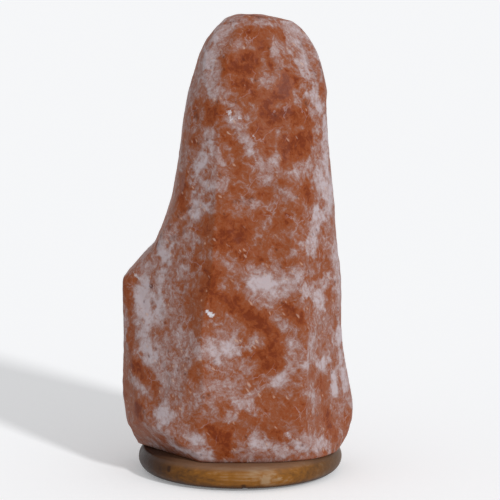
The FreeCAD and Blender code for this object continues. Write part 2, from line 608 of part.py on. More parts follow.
def bulb_cap():
    """The cap: a thin metal shell, drawn in at the foot. Its thread is taken at its mean radius."""
    inner_foot = CAP_FOOT_RADIUS - CAP_WALL
    inner = CAP_RADIUS - CAP_WALL
    shoulder = CAP_BOTTOM + CAP_FOOT_HEIGHT
    return turned(polygon([(inner_foot, CAP_BOTTOM), (CAP_FOOT_RADIUS, CAP_BOTTOM), (CAP_RADIUS, shoulder),
                           (CAP_RADIUS, CAP_TOP), (inner, CAP_TOP), (inner, shoulder + CAP_WALL / 2),
                           (inner_foot, CAP_BOTTOM + CAP_WALL)]))


def glass_profile(inset):
    """Points of the envelope's profile, drawn in by the wall where it is the inner face."""
    neck, body = NECK_RADIUS - inset, GLASS_RADIUS - inset
    flare_bottom = CAP_TOP + NECK_STRAIGHT
    flare_top = flare_bottom + FLARE_HEIGHT
    dome_centre = LAMP_TOP - GLASS_RADIUS
    return neck, body, flare_bottom, flare_top, dome_centre


def glass_edges(inset):
    """The envelope's profile from the foot of the neck up to the top of the dome."""
    neck, body, flare_bottom, flare_top, dome_centre = glass_profile(inset)
    middle = ((neck + body) / 2, (flare_bottom + flare_top) / 2)
    lower = (neck + (body - neck) * 0.14, flare_bottom + (flare_top - flare_bottom) * 0.26)
    upper = (neck + (body - neck) * 0.86, flare_bottom + (flare_top - flare_bottom) * 0.74)
    slope = body * math.sin(math.pi / 4)
    return [line((neck, NECK_BOTTOM), (neck, flare_bottom)), arc((neck, flare_bottom), lower, middle),
            arc(middle, upper, (body, flare_top)), line((body, flare_top), (body, dome_centre)),
            arc((body, dome_centre), (slope, dome_centre + slope), (0, dome_centre + body))]


def bulb_glass():
    """The blown envelope, hollow and open at the foot of its neck, where the stem closes it."""
    outer, inner = glass_edges(0.0), glass_edges(GLASS_WALL)
    foot = line((NECK_RADIUS - GLASS_WALL, NECK_BOTTOM), (NECK_RADIUS, NECK_BOTTOM))
    crown = line((0, LAMP_TOP - GLASS_WALL), (0, LAMP_TOP))
    return turned(outer + inner + [foot, crown])


def bulb_stem():
    """The glass mount: a flared foot that closes the neck, a tube and a flattened pinch."""
    flare = NECK_RADIUS - GLASS_WALL - TURN_GAP
    shoulder = NECK_BOTTOM + STEM_FLARE_HEIGHT
    top = NECK_BOTTOM + STEM_HEIGHT
    tube = turned(polygon([(0, NECK_BOTTOM), (flare, NECK_BOTTOM), (flare, NECK_BOTTOM + 0.8),
                           (STEM_RADIUS, shoulder), (STEM_RADIUS, top), (0, top)]))
    pinch = block((-PINCH_WIDTH / 2, PINCH_WIDTH / 2), (-PINCH_THICKNESS / 2, PINCH_THICKNESS / 2),
                  (top - 1.0, top + PINCH_HEIGHT))
    return tube.fuse(pinch).removeSplitter()


def bulb_lead(side):
    """One stiff lead wire: up out of the pinch, then leaning outwards to the filament's end."""
    foot = NECK_BOTTOM + STEM_HEIGHT + PINCH_HEIGHT
    knee = Vector(side * LEAD_FOOT_X, 0, foot + LEAD_HEIGHT / 4)
    tip = Vector(side * LEAD_TOP_X, 0, foot + LEAD_HEIGHT)
    straight = Part.makeCylinder(LEAD_RADIUS, LEAD_HEIGHT / 4, Vector(side * LEAD_FOOT_X, 0, foot), UP)
    leaning = Part.makeCylinder(LEAD_RADIUS, (tip - knee).Length, knee, tip - knee)
    return straight.fuse([leaning, Part.makeSphere(LEAD_RADIUS, knee)]).removeSplitter()


def bulb_filament():
    """The filament, taken as a fine arched wire between the tips of the leads."""
    height = NECK_BOTTOM + STEM_HEIGHT + PINCH_HEIGHT + LEAD_HEIGHT + FILAMENT_RADIUS
    ends = [Vector(side * LEAD_TOP_X, 0, height) for side in (-1, 1)]
    path = Part.Wire(Part.Arc(ends[0], Vector(0, 0, height + FILAMENT_RISE), ends[1]).toShape())
    start = path.Edges[0]
    tangent = start.tangentAt(start.FirstParameter)
    return path.makePipeShell([Part.Wire(Part.makeCircle(FILAMENT_RADIUS, ends[0], tangent))], True, False)


# ---- Everything -------------------------------------------------------------------------------------
def main():
    """Builds and writes every sub-part."""
    os.makedirs("parts", exist_ok=True)
    save("salt_crystal", salt_crystal())
    save("wood_base", wood_base())
    for number, position in enumerate(around(PAD_COUNT, PAD_CIRCLE_RADIUS, 45.0), start=1):
        save(f"foot_pad_{number}", foot_pad(position))
    save("base_screws", *[base_screw(p) for p in fixing_positions()])
    save("wall_plugs", *[wall_plug(p) for p in fixing_positions()])
    save("retainer_plate", retainer_plate())
    save("spring_bracket", spring_bracket())
    save("lampholder_skirt", lampholder_skirt())
    save("contact_carrier", contact_carrier())
    save("threaded_sleeve", threaded_sleeve())
    save("centre_contact", centre_contact())
    save("side_contact", side_contact())
    save("terminal_screws", terminal_screw(-1), terminal_screw(1))
    save("terminal_cover", terminal_cover())
    save("cover_screws", *[cover_screw(p) for p in cover_screw_positions()])
    save("inlet_grommet", inlet_grommet())
    save("bulb_contact", bulb_contact())
    save("bulb_insulator", bulb_insulator())
    save("bulb_cap", bulb_cap())
    save("bulb_glass", bulb_glass())
    save("bulb_stem", bulb_stem())
    save("bulb_leads", bulb_lead(-1), bulb_lead(1))
    save("bulb_filament", bulb_filament())


main()
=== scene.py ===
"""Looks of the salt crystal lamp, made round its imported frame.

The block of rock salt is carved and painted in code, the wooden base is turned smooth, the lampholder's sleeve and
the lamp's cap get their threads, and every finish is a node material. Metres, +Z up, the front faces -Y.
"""
from __future__ import annotations

import logging
import math
from dataclasses import dataclass
from enum import Enum
from typing import Sequence

import bmesh
import bpy
import numpy as np
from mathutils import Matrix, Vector, noise
from mathutils.bvhtree import BVHTree


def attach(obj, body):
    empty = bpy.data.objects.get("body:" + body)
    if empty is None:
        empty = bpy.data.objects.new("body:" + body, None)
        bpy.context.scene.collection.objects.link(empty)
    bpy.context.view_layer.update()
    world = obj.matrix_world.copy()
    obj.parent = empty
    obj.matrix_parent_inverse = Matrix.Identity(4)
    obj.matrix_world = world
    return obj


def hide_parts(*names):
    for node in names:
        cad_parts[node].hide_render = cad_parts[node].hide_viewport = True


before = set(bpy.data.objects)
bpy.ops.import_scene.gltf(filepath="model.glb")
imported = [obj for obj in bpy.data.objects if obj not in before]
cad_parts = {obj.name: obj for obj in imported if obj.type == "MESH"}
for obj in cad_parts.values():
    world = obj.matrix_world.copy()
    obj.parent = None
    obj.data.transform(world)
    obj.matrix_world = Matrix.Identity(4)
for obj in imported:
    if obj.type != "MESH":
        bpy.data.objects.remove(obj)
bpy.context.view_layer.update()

log = logging.getLogger("salt_lamp")
MM = 0.001

Point = tuple[float, float, float]
Pixel = tuple[float, float]
Socket = bpy.types.NodeSocket


# ---- Colours and node graphs ------------------------------------------------------------------------
def paint(code: str) -> tuple[float, float, float, float]:
    """Turns a colour code into the linear colour that a shader takes.

    Args:
        code: Six hexadecimal digits after a hash sign, as seen on a screen.

    Returns:
        Linear red, green, blue and full opacity.
    """
    shares = [int(code[i:i + 2], 16) / 255 for i in (1, 3, 5)]
    linear = [s / 12.92 if s <= 0.04045 else ((s + 0.055) / 1.055) ** 2.4 for s in shares]
    return linear[0], linear[1], linear[2], 1.0


class FinishGraph:
    """The node material of one finish, with a short method for each kind of node that finishes share."""

    def __init__(self, name: str) -> None:
        """Starts an empty material with one shader and its Object coordinates.

        Args:
            name: The material's name.
        """
        self.material = bpy.data.materials.new(name)
        self.material.use_nodes = True
        self.tree = self.material.node_tree
        self.tree.nodes.clear()
        self.shader = self.node("ShaderNodeBsdfPrincipled")
        output = self.node("ShaderNodeOutputMaterial")
        self.tree.links.new(self.shader.outputs["BSDF"], output.inputs["Surface"])
        self.place = self.node("ShaderNodeTexCoord").outputs["Object"]

    def node(self, kind: str, **settings: object) -> bpy.types.Node:
        """Adds a node and sets its own properties."""
        made = self.tree.nodes.new(kind)
        for key, value in settings.items():
            setattr(made, key, value)
        return made

    def feed(self, target: Socket, value: object) -> None:
        """Links a socket to an input, or writes a constant to it."""
        if isinstance(value, bpy.types.NodeSocket):
            self.tree.links.new(value, target)
        else:
            target.default_value = value

    def set(self, **inputs: object) -> None:
        """Feeds the shader's inputs, named in lower case with underscores for spaces."""
        names = {socket.name.lower().replace(" ", "_"): socket for socket in self.shader.inputs}
        for key, value in inputs.items():
            self.feed(names[key], value)

    def mapped(self, scale: Point = (1, 1, 1), turn: Point = (0, 0, 0), shift: Point = (0, 0, 0)) -> Socket:
        """Object coordinates, turned (in degrees) and then stretched and shifted along the turned axes."""
        turned = self.node("ShaderNodeMapping")
        self.feed(turned.inputs["Vector"], self.place)
        turned.inputs["Rotation"].default_value = [math.radians(a) for a in turn]
        made = self.node("ShaderNodeMapping")
        self.feed(made.inputs["Vector"], turned.outputs["Vector"])
        made.inputs["Scale"].default_value = scale
        made.inputs["Location"].default_value = shift
        return made.outputs["Vector"]

    def bent(self, at: Socket, scale: float, reach: float) -> Socket:
        """Coordinates pushed about by noise, so that what is drawn on them has ragged edges.

        Args:
            at: The coordinates to bend.
            scale: How fine the bends are, per metre.
            reach: How far a point is pushed, in metres.

        Returns:
            The bent coordinates.
        """
        push = self.node("ShaderNodeTexNoise")
        self.feed(push.inputs["Vector"], at)
        push.inputs["Scale"].default_value = scale
        push.inputs["Detail"].default_value = 3.0
        centred = self.node("ShaderNodeVectorMath", operation="SUBTRACT")
        self.feed(centred.inputs[0], push.outputs["Color"])
        centred.inputs[1].default_value = (0.5, 0.5, 0.5)
        scaled = self.node("ShaderNodeVectorMath", operation="SCALE")
        self.feed(scaled.inputs[0], centred.outputs["Vector"])
        scaled.inputs["Scale"].default_value = reach * 2
        total = self.node("ShaderNodeVectorMath", operation="ADD")
        self.feed(total.inputs[0], at)
        self.feed(total.inputs[1], scaled.outputs["Vector"])
        return total.outputs["Vector"]

    def grain(self, at: Socket, scale: float, detail: float = 4.0, roughness: float = 0.55,
              distortion: float = 0.0) -> Socket:
        """Noise about 0.5, as fine as scale per metre."""
        made = self.node("ShaderNodeTexNoise")
        self.feed(made.inputs["Vector"], at)
        for key, value in (("Scale", scale), ("Detail", detail), ("Roughness", roughness),
                           ("Distortion", distortion)):
            made.inputs[key].default_value = value
        return made.outputs["Fac"]

    def cells(self, at: Socket, scale: float, feature: str = "F1") -> bpy.types.Node:
        """Irregular cells, as fine as scale per metre."""
        made = self.node("ShaderNodeTexVoronoi", feature=feature)
        self.feed(made.inputs["Vector"], at)
        made.inputs["Scale"].default_value = scale
        return made

    def calc(self, operation: str, first: object, second: object = 0.0, clamp: bool = False) -> Socket:
        """One step of arithmetic on two values."""
        made = self.node("ShaderNodeMath", operation=operation, use_clamp=clamp)
        self.feed(made.inputs[0], first)
        self.feed(made.inputs[1], second)
        return made.outputs["Value"]

    def total(self, *parts: tuple[Socket, float]) -> Socket:
        """Adds up noises, each centred on nothing and given its own strength.

        Args:
            parts: Pairs of a noise about 0.5 and its strength.

        Returns:
            The sum.
        """
        running: object = 0.0
        for value, strength in parts:
            centred = self.calc("SUBTRACT", value, 0.5)
            made = self.node("ShaderNodeMath", operation="MULTIPLY_ADD")
            self.feed(made.inputs[0], centred)
            made.inputs[1].default_value = strength
            self.feed(made.inputs[2], running)
            running = made.outputs["Value"]
        return running

    def between(self, value: Socket, low: float, high: float, start: float = 0.0, end: float = 1.0) -> Socket:
        """A smooth step from start to end as the value goes from low to high."""
        made = self.node("ShaderNodeMapRange", interpolation_type="SMOOTHSTEP")
        self.feed(made.inputs["Value"], value)
        for key, number in (("From Min", low), ("From Max", high), ("To Min", start), ("To Max", end)):
            made.inputs[key].default_value = number
        return made.outputs["Result"]

    def ramp(self, value: Socket, *stops: tuple[float, str]) -> Socket:
        """Colours spread along a value.

        Args:
            value: What is looked up, from 0 to 1.
            stops: Pairs of a place and a colour code, in order.

        Returns:
            The colour.
        """
        made = self.node("ShaderNodeValToRGB")
        self.feed(made.inputs["Fac"], value)
        elements = made.color_ramp.elements
        while len(elements) < len(stops):
            elements.new(1.0)
        for element, (position, code) in zip(elements, stops):
            element.position = position
            element.color = paint(code)
        return made.outputs["Color"]

    def tint(self, share: object, under: object, over: object, mode: str = "MIX") -> Socket:
        """Lays one colour over another."""
        made = self.node("ShaderNodeMix", data_type="RGBA", blend_type=mode)
        self.feed(made.inputs[0], share)
        self.feed(made.inputs[6], under)
        self.feed(made.inputs[7], over)
        return made.outputs[2]

    def axis(self, name: str) -> Socket:
        """One of the Object coordinates, in metres: X, Y or Z."""
        made = self.node("ShaderNodeSeparateXYZ")
        self.feed(made.inputs["Vector"], self.place)
        return made.outputs[name]

    def spot(self, at: Socket, centre: Point, radius: float) -> Socket:
        """1 inside a ball round a point, falling to 0 just outside it.

        Args:
            at: The coordinates, bent where the spot is to be ragged.
            centre: The middle of the spot.
            radius: Its radius, in metres.

        Returns:
            How far each place lies inside the spot.
        """
        gap = self.node("ShaderNodeVectorMath", operation="DISTANCE")
        self.feed(gap.inputs[0], at)
        gap.inputs[1].default_value = centre
        return self.between(gap.outputs["Value"], radius * 0.6, radius * 1.3, 1.0, 0.0)

    def attribute(self, name: str) -> Socket:
        """A value that is kept at the piece's own vertices."""
        return self.node("ShaderNodeAttribute", attribute_name=name).outputs["Fac"]

    def bump(self, height: Socket, depth: float, strength: float = 1.0, under: Socket | None = None) -> Socket:
        """Relief too fine for the mesh.

        Args:
            height: The relief, from 0 to 1.
            depth: How deep that is, in metres.
            strength: How much of it shows.
            under: Coarser relief that this lies on.

        Returns:
            The normal.
        """
        made = self.node("ShaderNodeBump")
        self.feed(made.inputs["Height"], height)
        made.inputs["Distance"].default_value = depth
        made.inputs["Strength"].default_value = strength
        if under is not None:
            self.feed(made.inputs["Normal"], under)
        return made.outputs["Normal"]


# ---- Finishes ---------------------------------------------------------------------------------------
VEIL = "veil"
RUST = "rust"
CHALK = "chalk"


@dataclass(frozen=True)
class RockSalt:
    """Rock salt: orange brown windows into the block under a frosted, rosy grey skin, with rust and chips."""

    deep: str = "#6f2b08"
    amber: str = "#88411a"
    warm: str = "#8b4f33"
    rose: str = "#93695d"
    frost: str = "#a48a86"
    pale: str = "#b8a9ac"
    chalk: str = "#cfcdd3"
    # Pale colour of the painted glints on small broken faces.
    glint_paint: str = "#c9a592"
    rust: str = "#4c1c0e"

    def build(self) -> bpy.types.Material:
        """Builds the node material."""
        g = FinishGraph("rock_salt")
        ragged = g.bent(g.place, 120.0, 0.006)
        cloudy = g.grain(ragged, 70.0, 7.0, 0.66)
        mottle = g.grain(ragged, 280.0, 4.0, 0.6)
        grit = g.grain(g.place, 680.0, 3.0, 0.7)
        wisps = g.grain(g.mapped((1.0, 1.0, 0.28), (0, 38, 0)), 210.0, 4.0, 0.55, 0.8)
        height = g.calc("ADD", g.attribute(VEIL),
                        g.total((cloudy, 0.75), (mottle, 0.65), (wisps, 0.4), (grit, 0.36)))
        colour = g.ramp(height, (0.05, self.deep), (0.24, self.amber), (0.42, self.warm), (0.57, self.rose),
                        (0.74, self.frost), (0.97, self.pale))
        # Hair-fine healed cracks catch the light, some in bunches.
        cracks = g.cells(g.bent(g.mapped((1.0, 1.0, 0.6), (0, -35, 0)), 120.0, 0.008), 70.0, "DISTANCE_TO_EDGE")
        bunches = g.between(g.grain(g.place, 45.0, 2.0), 0.48, 0.62)
        line = g.calc("MULTIPLY", g.between(cracks.outputs["Distance"], 0.0, 0.03, 1.0, 0.0), bunches)
        colour = g.tint(g.calc("MULTIPLY", line, 0.35), colour, paint(self.pale))
        # Rust lies in specks, thickest where it has run along a crack.
        specks = g.cells(g.mapped((1.0, 1.0, 0.7), (0, 30, 0)), 260.0)
        speck = g.between(specks.outputs["Distance"], 0.1, 0.34, 1.0, 0.0)
        chosen = g.node("ShaderNodeSeparateColor")
        g.feed(chosen.inputs["Color"], specks.outputs["Color"])
        rust = g.attribute(RUST)
        rare = g.calc("GREATER_THAN", g.calc("ADD", chosen.outputs["Red"], g.calc("MULTIPLY", rust, 0.5)), 0.93)
        spotted = g.calc("MULTIPLY", g.calc("MULTIPLY", speck, rare), 0.5)
        run = g.calc("MULTIPLY", rust, g.between(g.grain(ragged, 330.0, 3.0), 0.42, 0.6, 0.15, 0.9))
        colour = g.tint(g.calc("MAXIMUM", spotted, run), colour, paint(self.rust))
        # Small broken faces get a painted glint, a pale spot standing in for their highlight; chips are bruised
        # white.
        flakes = g.cells(g.bent(g.mapped((1.0, 1.0, 0.42), (0, 42, 0)), 300.0, 0.0015), 330.0)
        flake = g.node("ShaderNodeSeparateColor")
        g.feed(flake.inputs["Color"], flakes.outputs["Color"])
        painted_glint = g.calc("MULTIPLY", g.between(flakes.outputs["Distance"], 0.12, 0.34, 1.0, 0.0),
                     g.calc("GREATER_THAN", flake.outputs["Green"], 0.87))
        colour = g.tint(g.calc("MULTIPLY", painted_glint, 0.5), colour, paint(self.glint_paint))
        bruise = g.between(g.calc("ADD", g.attribute(CHALK), g.total((mottle, 0.9), (grit, 0.5))), 0.4, 0.95)
        colour = g.tint(bruise, colour, paint(self.chalk))
        g.set(base_color=colour)
        g.set(roughness=g.between(height, 0.2, 0.8, 0.42, 0.6))
        relief = g.bump(cloudy, 0.0008, 0.35)
        relief = g.bump(mottle, 0.0004, 0.45, relief)
        relief = g.bump(g.calc("ADD", painted_glint, grit), 0.00025, 0.6, relief)
        g.set(normal=relief, subsurface_weight=0.05, subsurface_radius=(1.0, 0.45, 0.25), subsurface_scale=0.002,
              ior=1.54, specular_ior_level=0.14)
        return g.material


@dataclass(frozen=True)
class TurnedWood:
    """A softwood disc, turned, stained golden brown and varnished, with painted shade darkening both ends and the
    bottom.
    """

    gold: str = "#885822"
    brown: str = "#644221"
    dark: str = "#2b150a"
    worn: str = "#a3896b"
    top: str = "#7a5d4c"
    # Colour of the painted shade on the base's right end.
    right_end_shade: str = "#4f3826"
    scuff_at: Point = (0.0184, -0.0735, 0.0085)
    knot_at: Point = (-0.051, -0.055, 0.0125)
    nick_at: Point = (0.003, -0.0735, 0.004)

    def build(self) -> bpy.types.Material:
        """Builds the node material."""
        g = FinishGraph("turned_wood")
        fibres = g.grain(g.mapped((0.06, 1.0, 1.0)), 460.0, 5.0, 0.65)
        bands = g.grain(g.mapped((0.1, 1.0, 1.0)), 130.0, 3.0, 0.5, 0.6)
        blotch = g.grain(g.place, 38.0, 4.0, 0.6)
        tone = g.calc("ADD", 0.55, g.total((fibres, 0.7), (bands, 0.6), (blotch, 0.8)))
        colour = g.ramp(tone, (0.1, self.dark), (0.36, self.brown), (0.62, self.gold), (0.92, self.worn))
        across, up = g.axis("X"), g.axis("Z")
        colour = g.tint(g.between(up, 0.0138, 0.0172, 0.0, 0.75), colour, paint(self.top))
        # Painted shade: the right end, the left end and the bottom rim are darkened as if they lay in shade.
        colour = g.tint(g.between(across, 0.035, 0.07, 0.0, 0.85), colour, paint(self.right_end_shade))
        colour = g.tint(g.between(across, -0.073, -0.025, 1.0, 0.0), colour, paint(self.dark))
        colour = g.tint(g.between(up, 0.0022, 0.0058, 0.85, 0.0), colour, paint(self.dark))
        rough_edge = g.bent(g.place, 420.0, 0.002)
        for centre, radius, share, code in ((self.scuff_at, 0.0042, 0.7, self.worn),
                                            (self.knot_at, 0.0024, 0.8, self.dark),
                                            (self.nick_at, 0.0022, 0.7, self.dark)):
            mark = g.calc("MULTIPLY", g.spot(rough_edge, centre, radius), share)
            colour = g.tint(mark, colour, paint(code))
        g.set(base_color=colour, roughness=g.between(blotch, 0.3, 0.7, 0.3, 0.45), specular_ior_level=0.1)
        relief = g.bump(fibres, 0.0003, 0.4)
        g.set(normal=g.bump(bands, 0.0006, 0.3, relief))
        return g.material


@dataclass(frozen=True)
class Felt:
    """Pressed wool felt, matted and slightly fuzzy."""

    light: str = "#5b5652"
    dark: str = "#3a3633"

    def build(self) -> bpy.types.Material:
        """Builds the node material."""
        g = FinishGraph("felt")
        matting = g.grain(g.place, 1500.0, 4.0, 0.7, 1.2)
        g.set(base_color=g.ramp(matting, (0.3, self.dark), (0.7, self.light)), roughness=0.95, sheen_weight=0.4)
        g.set(normal=g.bump(matting, 0.0004, 0.8))
        return g.material


@dataclass(frozen=True)
class Metal:
    """A metal part: its colour, how dull it is, and how it has been worked or has tarnished."""

    name: str
    bright: str
    dull: str
    roughness: float
    stretch: Point = (1.0, 1.0, 1.0)
    fineness: float = 500.0
    depth: float = 0.0001

    def build(self) -> bpy.types.Material:
        """Builds the node material."""
        g = FinishGraph(self.name)
        marks = g.grain(g.mapped(self.stretch), self.fineness, 4.0, 0.6)
        stain = g.grain(g.place, 90.0, 4.0, 0.6)
        tone = g.calc("ADD", 0.5, g.total((marks, 0.5), (stain, 0.9)))
        g.set(base_color=g.ramp(tone, (0.2, self.dull), (0.75, self.bright)), metallic=1.0)
        g.set(roughness=g.between(tone, 0.2, 0.8, self.roughness + 0.14, self.roughness - 0.06))
        g.set(normal=g.bump(marks, self.depth, 0.5))
        return g.material


@dataclass(frozen=True)
class Moulding:
    """A moulded or fired part: one body colour, faint flow and a fine surface."""

    name: str
    light: str
    dark: str
    roughness: float
    fineness: float = 700.0
    depth: float = 0.00012

    def build(self) -> bpy.types.Material:
        """Builds the node material."""
        g = FinishGraph(self.name)
        skin = g.grain(g.place, self.fineness, 3.0, 0.55)
        flow = g.grain(g.place, 60.0, 3.0, 0.5, 0.5)
        tone = g.calc("ADD", 0.5, g.total((skin, 0.25), (flow, 0.8)))
        g.set(base_color=g.ramp(tone, (0.25, self.dark), (0.75, self.light)))
        g.set(roughness=g.between(flow, 0.3, 0.7, self.roughness + 0.06, self.roughness - 0.05))
        g.set(normal=g.bump(skin, self.depth, 0.5))
        return g.material


@dataclass(frozen=True)
class BlownGlass:
    """Clear glass with the faint unevenness of blowing."""

    name: str
    tone: str = "#ffffff"
    shade: str = "#fafcfb"

    def build(self) -> bpy.types.Material:
        """Builds the node material."""
        g = FinishGraph(self.name)
        waves = g.grain(g.place, 55.0, 2.0, 0.4)
        g.set(base_color=g.ramp(waves, (0.3, self.shade), (0.7, self.tone)), transmission_weight=1.0, ior=1.47)
        g.set(roughness=g.between(waves, 0.3, 0.7, 0.0, 0.01), normal=g.bump(waves, 0.0002, 0.05))
        return g.material


# ---- Shared ways of making a piece ------------------------------------------------------------------
def placed(name: str, data: bpy.types.ID) -> bpy.types.Object:
    """A new object in the scene, at the origin."""
    made = bpy.data.objects.new(name, data)
    bpy.context.scene.collection.objects.link(made)
    return made


def piece_from(bm: bmesh.types.BMesh, name: str) -> bpy.types.Object:
    """Makes an object of a finished bmesh, and frees the bmesh."""
    mesh = bpy.data.meshes.new(name)
    bm.to_mesh(mesh)
    bm.free()
    return placed(name, mesh)


def baked(source: bpy.types.Object, name: str) -> bpy.types.Object:
    """Puts a plain mesh, in the form that the source's modifiers or curve give, in the source's place."""
    graph = bpy.context.evaluated_depsgraph_get()
    mesh = bpy.data.meshes.new_from_object(source.evaluated_get(graph))
    bpy.data.objects.remove(source)
    return placed(name, mesh)


def welded_copy(node: str) -> bmesh.types.BMesh:
    """A CAD node's mesh as a new bmesh with its loose triangles joined."""
    bm = bmesh.new()
    bm.from_mesh(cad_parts[node].data)
    bmesh.ops.remove_doubles(bm, verts=bm.verts, dist=1e-6)
    return bm


def settle(piece: bpy.types.Object, material: bpy.types.Material, body: str, slot: str, *nodes: str) -> None:
    """Finishes a new piece: its material, the body it rides on and the nodes it stands for."""
    piece.data.materials.append(material)
    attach(piece, body)
    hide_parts(*nodes)
    log.info("made %s: %d faces, riding on %s", piece.name, len(piece.data.polygons), body)


# ---- Where the lamp is seen from, and its studio ----------------------------------------------------
@dataclass(frozen=True)
class Viewpoint:
    """The camera that sees the lamp as the photograph does. Pixels are those of its 500 by 500 frame."""

    aim: Point = (0.0072, 0.0, 0.1626)
    distance: float = 1.5
    pitch_degrees: float = 8.0
    focal_mm: float = 148.0
    sensor_mm: float = 36.0
    frame_pixels: float = 500.0

    @property
    def sight(self) -> Vector:
        """The direction in which the camera looks."""
        pitch = math.radians(self.pitch_degrees)
        return Vector((0.0, math.cos(pitch), -math.sin(pitch)))

    @property
    def right(self) -> Vector:
        """The picture's horizontal, to the right."""
        return Vector((1.0, 0.0, 0.0))

    @property
    def up(self) -> Vector:
        """The picture's vertical, upwards."""
        return self.right.cross(self.sight)

    @property
    def eye(self) -> Vector:
        """Where the camera stands."""
        return Vector(self.aim) - self.sight * self.distance

    @property
    def pixels_per_radian(self) -> float:
        """The focal length in pixels."""
        return self.focal_mm / self.sensor_mm * self.frame_pixels

    def ray(self, pixel: Pixel) -> Vector:
        """The direction of the line of sight through a pixel."""
        half = self.frame_pixels / 2
        across = self.right * (pixel[0] - half) - self.up * (pixel[1] - half)
        return (self.sight * self.pixels_per_radian + across).normalized()

    def camera(self) -> None:
        """Makes the camera the scene's own."""
        data = bpy.data.cameras.new("viewpoint")
        data.lens = self.focal_mm
        data.sensor_width = self.sensor_mm
        made = placed("viewpoint", data)
        made.location = self.eye
        made.rotation_mode = "QUATERNION"
        made.rotation_quaternion = self.sight.to_track_quat("-Z", "Y")
        bpy.context.scene.camera = made


@dataclass(frozen=True)
class Studio:
    """A pale floor and plain soft light: one broad lamp from the right front, and light from all round."""

    floor_reach: float = 60.0
    floor_colour: tuple[float, float, float] = (0.925, 0.932, 0.946)
    floor_lift: float = 0.215
    backdrop: tuple[float, float, float] = (0.925, 0.935, 0.955)
    key_strength: float = 1.75
    key_softness_degrees: float = 6.0
    key_from_degrees: float = 35.0
    key_height_degrees: float = 30.0
    fill_strength: float = 0.5

    def seen(self, tree: bpy.types.NodeTree) -> Socket:
        """1 where a ray comes from the camera, a reflection or through glass, and otherwise 0."""
        path = tree.nodes.new("ShaderNodeLightPath")
        value = path.outputs["Is Camera Ray"]
        for name in ("Is Glossy Ray", "Is Transmission Ray"):
            made = tree.nodes.new("ShaderNodeMath")
            made.operation = "MAXIMUM"
            tree.links.new(value, made.inputs[0])
            tree.links.new(path.outputs[name], made.inputs[1])
            value = made.outputs["Value"]
        return value

    def world(self) -> None:
        """Even light from all round, which is seen as the pale backdrop."""
        made = bpy.data.worlds.new("studio")
        bpy.context.scene.world = made
        made.use_nodes = True
        tree = made.node_tree
        tree.nodes.clear()
        output = tree.nodes.new("ShaderNodeOutputWorld")
        fill, seen = (tree.nodes.new("ShaderNodeBackground") for _ in range(2))
        fill.inputs["Color"].default_value = (1.0, 1.0, 1.0, 1.0)
        fill.inputs["Strength"].default_value = self.fill_strength
        seen.inputs["Color"].default_value = (*self.backdrop, 1.0)
        mix = tree.nodes.new("ShaderNodeMixShader")
        tree.links.new(self.seen(tree), mix.inputs["Fac"])
        tree.links.new(fill.outputs["Background"], mix.inputs[1])
        tree.links.new(seen.outputs["Background"], mix.inputs[2])
        tree.links.new(mix.outputs["Shader"], output.inputs["Surface"])

    def floor(self) -> None:
        """A wide matt floor, lifted to the backdrop's paleness where it is seen, with the lamp's shadow on it."""
        bm = bmesh.new()
        bmesh.ops.create_grid(bm, x_segments=1, y_segments=1, size=self.floor_reach)
        made = piece_from(bm, "floor")
        material = bpy.data.materials.new("floor")
        material.use_nodes = True
        tree = material.node_tree
        tree.nodes.clear()
        matt = tree.nodes.new("ShaderNodeBsdfDiffuse")
        matt.inputs["Color"].default_value = (*self.floor_colour, 1.0)
        lift = tree.nodes.new("ShaderNodeEmission")
        lift.inputs["Color"].default_value = (*self.backdrop, 1.0)
        strength = tree.nodes.new("ShaderNodeMath")
        strength.operation = "MULTIPLY"
        tree.links.new(self.seen(tree), strength.inputs[0])
        strength.inputs[1].default_value = self.floor_lift
        tree.links.new(strength.outputs["Value"], lift.inputs["Strength"])
        both = tree.nodes.new("ShaderNodeAddShader")
        tree.links.new(matt.outputs["BSDF"], both.inputs[0])
        tree.links.new(lift.outputs["Emission"], both.inputs[1])
        output = tree.nodes.new("ShaderNodeOutputMaterial")
        tree.links.new(both.outputs["Shader"], output.inputs["Surface"])
        made.data.materials.append(material)

    def key(self) -> None:
        """The broad lamp, which throws the soft shadow back and to the left."""
        data = bpy.data.lights.new("key", "SUN")
        data.energy = self.key_strength
        data.angle = math.radians(self.key_softness_degrees)
        made = placed("key", data)
        turn, height = math.radians(self.key_from_degrees), math.radians(self.key_height_degrees)
        towards = Vector((math.sin(turn) * math.cos(height), -math.cos(turn) * math.cos(height), math.sin(height)))
        made.rotation_mode = "QUATERNION"
        made.rotation_quaternion = (-towards).to_track_quat("-Z", "Y")

    def build(self, viewpoint: Viewpoint) -> None:
        """Sets up floor, light and camera."""
        bpy.context.scene.view_settings.view_transform = "Standard"
        self.world()
        self.floor()
        self.key()
        viewpoint.camera()


# ---- Block of salt ----------------------------------------------------------------------------------
class Look(Enum):
    """What a zone of the block looks like."""

    FROSTED = "frosted"
    AMBER = "amber"
    RUSTY = "rusty"
    CHALKY = "chalky"


@dataclass(frozen=True)
class Zone:
    """A zone of the block's face: a stroke between two pixels of the photograph, with its half width."""

    look: Look
    start: Pixel
    end: Pixel
    half_width: float
    strength: float = 1.0


@dataclass(frozen=True)
class Chip:
    """A shallow flat broken off the block's face: where, how wide in pixels and how deep in millimetres."""

    centre: Pixel
    reach: float
    depth: float


